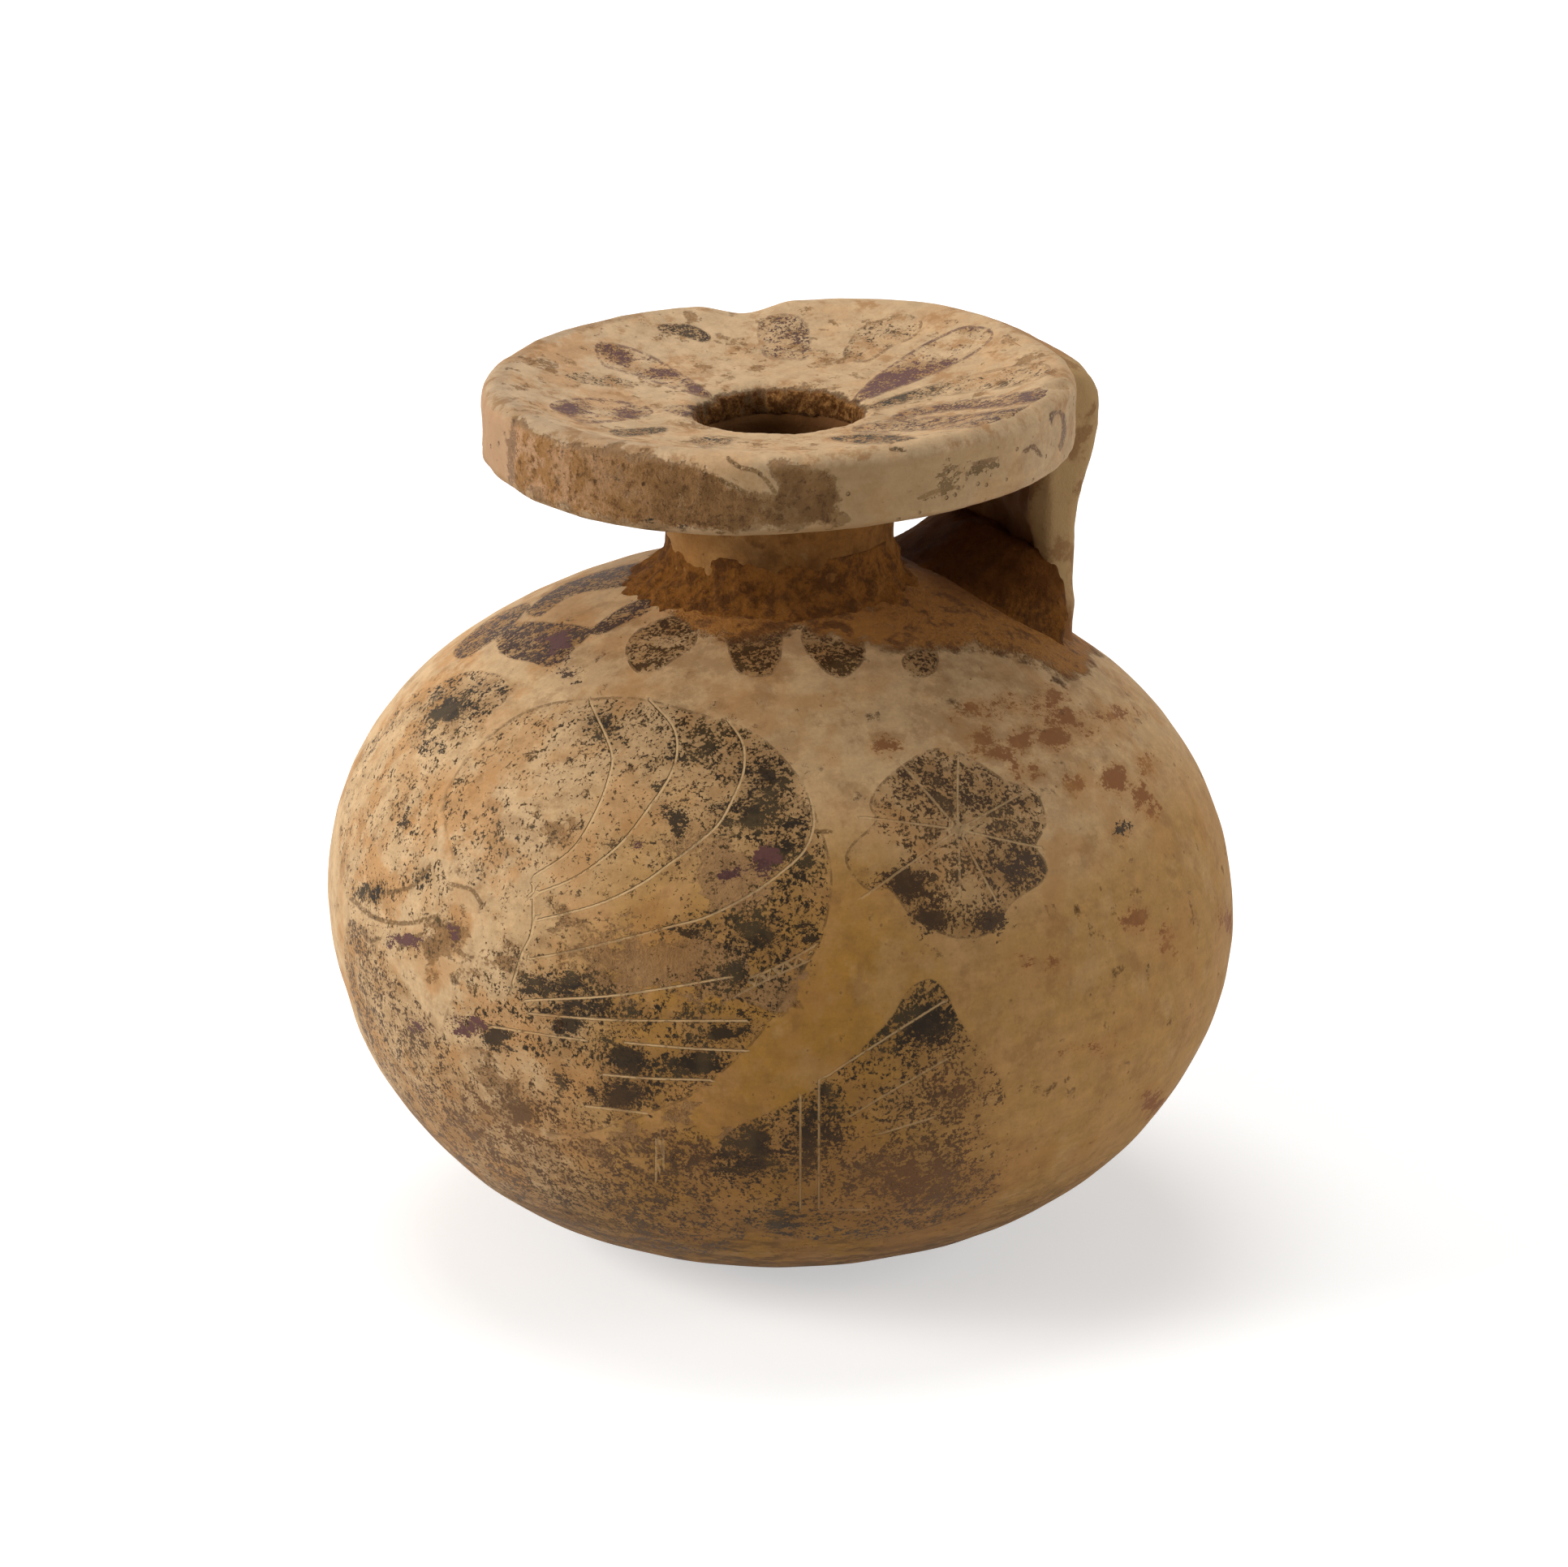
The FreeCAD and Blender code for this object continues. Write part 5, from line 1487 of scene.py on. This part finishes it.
def fired_clay(paint, pale=PALE_CLAY_AND_LIGHT, deep=DEEP_CLAY_AND_SHADE, high=SHOULDER_CLAY_AND_LIGHT, rosy=ROSY_CLAY, stain=0.5):
    """Colour and height of the bare clay, with painted light and shade on its sides."""
    up = paint.apart(paint.place)[2]
    to_right = paint.rightward()
    cloud = paint.noise(11.0, 2.0, 0.5, 1)
    # Painted light and shade, partly the clay's own tone: paler towards the left and on the shoulder, deeper
    # low on the right.
    right_shade_and_tone = paint.torn(to_right, cloud, 30.0, -30.0, 4.0)
    top_light_and_tone = paint.mix(deep, high, paint.torn(up, cloud, 16.0, 31.0, 41.0))
    colour = paint.mix(pale, top_light_and_tone, right_shade_and_tone)
    in_hollow = paint.step(abs(to_right + 2.0), 17.0, 6.0) * paint.torn(up, cloud, 8.0, 46.0, 33.0)
    colour = paint.mix(colour, HOLLOW_CLAY, in_hollow * 0.82)
    blush = paint.noise(5.5, 5.0, 0.66, 2)
    calm = 1.0 - right_shade_and_tone * 0.55
    colour = paint.mix(colour, rosy, paint.step(blush, 0.49, 0.60) * calm * 0.85)
    colour = paint.mix(colour, paint.scaled(pale, 1.06), paint.step(blush, 0.46, 0.34) * calm * 0.4)
    wheel_marks = paint.noise((7.0, 7.0, 0.55), 4.0, 0.6, 3)
    mottle = paint.noise(1.3, 5.0, 0.65, 4)
    grain = paint.noise(0.22, 2.0, 0.6, 5)
    colour = paint.scaled(colour, 0.38 + mottle * 0.66 + wheel_marks * 0.28 + grain * 0.32)
    stains = paint.step(paint.noise(4.2, 6.0, 0.70, 6), 0.53, 0.68) * stain
    colour = paint.mix(colour, BROWN_STAIN, stains * 0.6)
    pits = paint.specks(1.15, 0.22, 0.13, 7)
    flecks = paint.specks(0.62, 0.14, 0.09, 8)
    colour = paint.mix(colour, BROWN_STAIN, (pits * 0.7 + flecks * 0.5).at_most(1.0))
    height = mottle * 0.05 + grain * 0.014 + wheel_marks * 0.02 - pits * 0.07
    return colour, height


print("clay tones:", PALE_CLAY_AND_LIGHT, DEEP_CLAY_AND_SHADE, ROSY_CLAY)

# %% [markdown]
# ## Slip, cuts and wear
#
# The slip is there where a field was painted and the wear has left it. The wear is noise at three
# scales that is compared with the share of slip traced for that spot, which leaves ragged flakes
# and fine dots instead of an even grey. Cuts take the slip away and press a groove. Where most of
# the slip came off, the surface of the clay came off with it, and rougher, rosier clay shows.

# %% Slip
DARK_SLIP = (0.015, 0.0085, 0.003)
GREY_SLIP = (0.044, 0.028, 0.011)
THIN_SLIP = (0.135, 0.070, 0.021)
BROWN_SLIP = (0.15, 0.068, 0.026)
PURPLE_SLIP = (0.100, 0.040, 0.034)
SLIP_FILM = (0.235, 0.122, 0.038)
ROSY_CLAY_WORN = (0.43, 0.235, 0.100)
CUT_CLAY = (0.60, 0.40, 0.20)
RUST = (0.19, 0.065, 0.020)
ORANGE_STAIN = (0.38, 0.18, 0.055)


def drawn_slip(paint, colour, height, fine=1.0):
    """Lay the traced drawing over the clay. Returns colour, height and the slip's mask."""
    field, cover, edge = paint.kept("slip")
    brown, purple, worn = paint.kept("tone")
    cut_side, cut_reach, cut_strength = paint.kept("cut")
    ink_side, ink_reach, ink_strength = paint.kept("ink")
    dark_spot, purple_spot, rust_spot = paint.kept("spots")

    flakes = paint.noise(0.95 * fine, 6.0, 0.78, 11)
    dots = paint.noise(0.26 * fine, 4.0, 0.66, 12)
    rough = paint.noise(0.45, 5.0, 0.75, 13)
    clumps = paint.noise(3.2 * fine, 2.0, 0.5, 14)
    shreds = paint.noise((2.2 * fine, 2.2 * fine, 1.0 * fine), 6.0, 0.80, 15)
    ragged = (dots - 0.5) * 0.6 + (flakes - 0.5) * 0.9
    torn = (shreds - 0.5) * 7.0 + (flakes - 0.5) * 3.0 + (dots - 0.5) * 2.0

    left = paint.step(flakes * 0.46 + dots * 0.44 + clumps * 0.10, 0.38, 0.62) - (1.0 - cover)
    slip = paint.step(left, -0.03, 0.05) * paint.step(field + ragged * 0.6, 0.06, -0.06)
    outline = paint.step(abs(field + ragged * 0.12), 0.14, 0.05) * edge * paint.step(flakes, 0.42, 0.56)
    inked = paint.step(abs(ink_side + ragged * 0.2), 0.24, 0.10) * paint.step(ink_strength, 0.05, 0.3)
    inked = inked * paint.step(ink_reach - abs(ink_side), 0.35, 0.2) * paint.step(dots, 0.36, 0.5)
    blot = paint.step(dark_spot + torn, 0.03, -0.05)
    purple_blot = paint.step(purple_spot + torn * 0.6, 0.03, -0.05)

    film = paint.step(field, 0.15, -0.25) * paint.torn(cover, shreds, 1.2, 0.08, 0.62)
    colour = paint.mix(colour, SLIP_FILM, film * 0.6)
    scraped = worn + (clumps - 0.5) * 1.4 + (shreds - 0.5) * 1.5 + ragged * 0.8
    scraped = paint.step(scraped, 0.42, 0.58) * (1.0 - slip)
    colour = paint.mix(colour, paint.scaled(ROSY_CLAY_WORN, 0.55 + rough * 0.85), scraped * 0.78)
    colour = paint.mix(colour, ORANGE_STAIN, paint.step(rust_spot + torn * 0.4, 0.95, 0.0) * 0.45)
    colour = paint.mix(colour, RUST, paint.step(rust_spot + torn * 0.7, 0.20, -0.20) * 0.85)

    thick = paint.step(left, 0.0, 0.22).at_least(blot)
    full_slip = paint.mix(DARK_SLIP, GREY_SLIP, paint.step(clumps, 0.5, 0.62))
    slip_colour = paint.mix(THIN_SLIP, full_slip, thick)
    slip_colour = paint.mix(slip_colour, BROWN_SLIP, brown)
    slip_colour = paint.mix(slip_colour, PURPLE_SLIP, purple.at_least(purple_blot))
    slip_colour = paint.scaled(slip_colour, 0.6 + dots * 0.8)
    grooves = paint.step(abs(cut_side + (dots - 0.5) * 0.12), 0.135, 0.05) * paint.step(flakes, 0.30, 0.42)
    grooves = grooves * paint.step(cut_reach - abs(cut_side), 0.35, 0.2) * cut_strength
    covered = slip.at_least(outline * 0.8).at_least(inked * 0.85).at_least(blot * 0.95).at_least(purple_blot)
    covered = covered * (1.0 - grooves * 0.92)
    colour = paint.mix(colour, slip_colour, covered)
    colour = paint.mix(colour, CUT_CLAY, grooves * 0.8)
    height = height + covered * 0.035 - grooves * 0.14 + scraped * (rough * 0.5 - 0.3)
    return colour, height, covered


print("slip tones:", DARK_SLIP, THIN_SLIP, PURPLE_SLIP)

# %% [markdown]
# ### The body's finish
#
# Over clay and drawing come streaks of old slip near the foot, orange and brown stains, and the
# soil that clings to the shoulder under the plate, where no hand could rub it away. Between the
# neck and the strap that soil is painted near black, as shade.

# %% Finish of the body
# Soil and painted shade: the near black of the corner between neck and strap and of the strap's inner face.
SOIL_AND_PAINTED_SHADE = (0.140, 0.042, 0.003)
SOIL_BROWN = (0.37, 0.152, 0.030)
SOIL_DARK = (0.14, 0.052, 0.011)

paint = Paint(CLAYS["slipped_clay"].node_tree)
across, along, up = paint.apart(paint.place)
clinging, stained, _ = paint.kept("cling")
colour, height = fired_clay(paint)
colour, height, covered = drawn_slip(paint, colour, height)
streaks = paint.noise((9.0, 9.0, 0.75), 5.0, 0.68, 21)
near_foot = paint.step(up, 14.0, 4.0)
foot_specks = paint.noise((1.6, 1.6, 0.5), 5.0, 0.74, 27)
foot_slip = paint.step(streaks * 0.5 + foot_specks * 0.5 + near_foot * 0.07, 0.530, 0.58)
foot_slip = foot_slip * near_foot * (1.0 - covered)
foot_tone = paint.mix(BROWN_SLIP, DARK_SLIP, paint.step(foot_specks, 0.46, 0.60))
colour = paint.mix(colour, foot_tone, foot_slip * 0.68)
orange = paint.step(paint.noise(5.0, 4.0, 0.6, 26) + stained * 0.10, 0.52, 0.66)
colour = paint.mix(colour, ORANGE_STAIN, orange * (1.0 - covered) * 0.45)
stains = paint.step(paint.noise(2.6, 6.0, 0.72, 25) + stained * 0.14, 0.53, 0.66)
colour = paint.mix(colour, BROWN_STAIN, stains * (1.0 - covered) * 0.38)
soil_noise = paint.noise(2.2, 6.0, 0.7, 23)
crumbs = paint.noise(0.5, 5.0, 0.75, 24)
soil = paint.torn(clinging * 1.35, soil_noise, 3.4, 0.40, 1.05)
soil_colour = paint.mix(SOIL_BROWN, SOIL_DARK, paint.step(soil_noise, 0.5, 0.62))
soil_colour = paint.scaled(soil_colour, 0.4 + crumbs * 1.2)
# Painted shade: the shoulder between the neck and the strap is painted near black, partly soil and partly
# shade.
corner_soil_and_shade = paint.step(across, 8.5, 11.5) * paint.step(across, 21.0, 19.5) * paint.step(abs(along), 10.5, 7.0)
soil_colour = paint.mix(soil_colour, SOIL_AND_PAINTED_SHADE, corner_soil_and_shade * 0.8)
colour = paint.mix(colour, soil_colour, soil * 0.92)
height = height + soil * (soil_noise * 0.45 + crumbs * 0.25)
paint.finish(colour, 0.70 - covered * 0.16 + (streaks - 0.5) * 0.2, height)

# %% [markdown]
# ### The plate's finish
#
# The plate is the palest piece. Its band is rubbed rough and rosy at the left, browner and darker
# towards the right, partly in tone and partly as painted shade, and keeps flakes of its cream
# surface. Inside the hole the clay is crusted and painted near black, as soil and shade, and the
# plate's underside is painted darker, as shade.

# %% Finish of the plate
# The first three rim tones are partly painted light and shade, as in the fired clay.
RIM_TONES = ((0.58, 0.405, 0.245), (0.50, 0.34, 0.18), (0.50, 0.34, 0.19), (0.50, 0.275, 0.125))
RIM_STAIN = (0.33, 0.165, 0.062)
RIM_LEFT = (0.52, 0.285, 0.145)
RIM_RIGHT_BROWN_AND_SHADE = (0.36, 0.215, 0.085)
RIM_UNDER_SHADE = (0.30, 0.17, 0.07)
RIM_PIT = (0.10, 0.05, 0.02)
RUBBED_PALE = ((0.53, 0.305, 0.165), (0.51, 0.255, 0.090))
RUBBED_DEEP = (0.38, 0.185, 0.060)
RUBBED_DARK = (0.16, 0.070, 0.022)
HOLE_SOIL_AND_SHADE = ((0.13, 0.042, 0.004), (0.46, 0.21, 0.055))

paint = Paint(CLAYS["rim_clay"].node_tree)
reach = paint.from_axis()
to_right = paint.rightward()
up = paint.apart(paint.place)[2]
worn = paint.kept("tone")[2]
colour, height = fired_clay(paint, *RIM_TONES, 0.35)
colour, height, covered = drawn_slip(paint, colour, height, 0.8)
patches = paint.noise(1.6, 5.0, 0.7, 31)
rough = paint.noise(0.55, 6.0, 0.76, 32)
band = paint.step(reach, DISH_REACH, 21.3) * paint.step(up, 65.6, 64.9)
stains = paint.step(paint.noise(2.4, 6.0, 0.72, 35), 0.50, 0.64) * (1.0 - covered)
colour = paint.mix(colour, RIM_STAIN, stains * (0.75 - band * 0.4))
left_end = paint.torn(to_right, patches, 7.0, -17.6, -20.4)
colour = paint.mix(colour, RIM_LEFT, left_end * band * 0.7)
crest_line = paint.step(reach, 19.6, DISH_REACH) * paint.torn(to_right, patches, 9.0, -5.0, -13.0)
colour = paint.scaled(colour, 1.0 - crest_line * 0.28)
# Painted shade: the band's right part is darker and browner, partly its tone and partly shade.
right_band_brown_and_shade = paint.torn(to_right, patches, 16.0, -8.0, 4.0) * paint.step(to_right, 20.0, 14.0) * band
colour = paint.mix(colour, RIM_RIGHT_BROWN_AND_SHADE, right_band_brown_and_shade * 0.55)

rubbed = paint.step(worn + (patches - 0.5) * 2.6 + (rough - 0.5) * 0.9, 0.34, 0.72) * band
left_cream = paint.step(paint.noise(2.1, 5.0, 0.75, 36), 0.56, 0.60)
rubbed = rubbed * (1.0 - left_cream * 0.6)
from_left = paint.step(to_right, -20.0, -5.0)
rubbed_tone = paint.mix(paint.mix(*RUBBED_PALE, from_left), RUBBED_DEEP, paint.step(patches, 0.42, 0.58))
rubbed_tone = paint.mix(rubbed_tone, RUBBED_DARK, paint.step(rough * 0.8 + patches * 0.2, 0.50, 0.62))
rubbed_tone = paint.scaled(rubbed_tone, 1.50 - from_left * 0.74)
colour = paint.mix(colour, rubbed_tone, rubbed * (0.94 - paint.step(to_right, -6.0, 1.0) * 0.16))
# Painted shade: the inside of the hole is painted near black, as soil and shade.
in_hole = paint.torn(reach, rough, 1.4, 6.6, 6.15) * paint.step(up, 63.9, 63.2)
colour = paint.mix(colour, paint.mix(*HOLE_SOIL_AND_SHADE, paint.step(rough, 0.40, 0.66)), in_hole)
pits = paint.specks(1.0, 0.42, 0.2, 33)
colour = paint.mix(colour, RIM_PIT, pits * (rubbed * 0.7 + band * 0.3) * 0.9)
# Painted shade: the plate's underside is painted darker.
colour = paint.mix(colour, RIM_UNDER_SHADE, paint.step(up, 60.9, 60.5) * 0.5)
height = height + rubbed * (rough * 0.6 - 0.4) + in_hole * rough * 0.8 - pits * band * 0.2
paint.finish(colour, 0.72 - covered * 0.15, height)

# %% [markdown]
# ## Neck, luting and strap
#
# The neck and the joints are redder and darker, partly from soil stuck in these corners and partly
# from painted shade. The rings at the neck's foot and at the strap's foot keep a thick, crumbly
# crust, painted near black between the neck and the strap as soil and shade. The neck is painted
# paler on its lit left side. The strap's head and edges are cleaner, and its inner face is painted
# as dark as the shoulder that it shelters, as soil and shade.

# %% Finishes of neck, luting and strap
CRUST_TONES = ((0.295, 0.112, 0.018), SOIL_DARK, (0.39, 0.18, 0.045))
# In the fired clay the pale tone of the neck, luting and strap paints their lit left side.
NECK_TONES = ((0.27, 0.112, 0.022), (0.15, 0.055, 0.010), (0.50, 0.30, 0.12))
LUTING_TONES = ((0.24, 0.110, 0.032), (0.14, 0.060, 0.017), (0.38, 0.22, 0.09))
STRAP_TONES = ((0.34, 0.185, 0.078), (0.20, 0.095, 0.034), (0.42, 0.26, 0.12))
STRAP_HEAD_TONE = (0.37, 0.20, 0.085)
STRAP_EDGE_TONE = (0.42, 0.27, 0.12)
THROAT_SOIL_AND_SHADE = (0.10, 0.038, 0.010)


def crusted(paint, base, dark, pale, coarse=1.0):
    """A rough, soil-stained surface of three tones."""
    lumps = paint.noise(1.5 * coarse, 6.0, 0.74, 41)
    crumbs = paint.noise(0.35 * coarse, 5.0, 0.75, 42)
    colour = paint.mix(base, dark, paint.step(lumps, 0.44, 0.60))
    colour = paint.mix(colour, pale, paint.step(lumps * 0.6 + crumbs * 0.4, 0.46, 0.34) * 0.7)
    return paint.scaled(colour, 0.35 + crumbs * 1.2), lumps * 0.8 + crumbs * 0.35


paint = Paint(CLAYS["crusted_clay"].node_tree)
colour, height = crusted(paint, *CRUST_TONES)
across, _, up = paint.apart(paint.place)
# Painted shade: the crust between the neck and the strap is painted near black, as soil and shade.
corner_soil_and_shade = paint.step(across, 9.5, 12.5) * paint.step(across, 21.0, 19.5) * paint.step(up, 47.5, 50.0)
paint.finish(paint.mix(colour, SOIL_AND_PAINTED_SHADE, corner_soil_and_shade * 0.75), 0.85, height)

for name, tones, strength in (
    ("neck_clay", NECK_TONES, 0.3), ("luting_clay", LUTING_TONES, 0.35), ("strap_clay", STRAP_TONES, 0.2),
):
    paint = Paint(CLAYS[name].node_tree)
    base, _, pale = tones
    across, along, up = paint.apart(paint.place)
    soil_colour, soil_height = crusted(paint, *tones, 1.5)
    colour, height = fired_clay(paint, pale, base, base, base, 0.6)
    patches = paint.noise(3.0, 5.0, 0.65, 43)
    soiled = paint.step(patches, 0.42, 0.58)
    if name == "strap_clay":
        clean_head = paint.torn(up, patches, 8.0, 60.5, 64.5)
        near_edge = paint.torn(abs(along), patches, 2.4, 5.4, 6.6) * paint.torn(up, patches, 6.0, 46.0, 48.5)
        # Painted shade: the strap's inner face, under the plate, is painted dark as soil and shade.
        inner_face_soil_and_shade = paint.torn(across, patches, 4.0, 20.9, 20.1) * paint.step(up, 60.4, 59.8)
        inner_face_soil_and_shade = inner_face_soil_and_shade * (1.0 - near_edge)
        soil_colour = paint.mix(soil_colour, SOIL_AND_PAINTED_SHADE, inner_face_soil_and_shade * 0.8)
        soiled = soiled * (1.0 - clean_head) * (1.0 - near_edge * 0.8)
        soiled = soiled.at_least(inner_face_soil_and_shade).at_least(paint.torn(up, patches, 5.0, 47.6, 45.6))
        colour = paint.mix(colour, STRAP_HEAD_TONE, clean_head * 0.7)
        edge_tone = paint.mix(STRAP_EDGE_TONE, BROWN_STAIN, paint.step(patches, 0.50, 0.60) * 0.8)
        colour = paint.mix(colour, edge_tone, near_edge * 0.85)
    if name == "neck_clay":
        in_throat = paint.step(paint.from_axis(), 7.4, 7.0)
        # Painted light: the neck is painted paler, with less soil, on its lit left side, and its throat near
        # black as soil and shade.
        lit_side = paint.torn(paint.rightward(), patches, 5.0, -2.0, -6.5)
        soiled = soiled.at_least(paint.torn(up, patches, 6.0, 57.0, 53.5)) * (1.0 - lit_side * 0.75)
        soil_colour = paint.scaled(soil_colour, 0.68 + lit_side * 0.45)
        soil_colour = paint.mix(soil_colour, THROAT_SOIL_AND_SHADE, in_throat)
        soiled = soiled.at_least(in_throat)
    colour = paint.mix(colour, soil_colour, soiled * 0.85)
    paint.finish(colour, 0.78, height + soil_height * strength)
print("finishes:", [name for name, clay in CLAYS.items() if len(clay.node_tree.nodes) > 1])
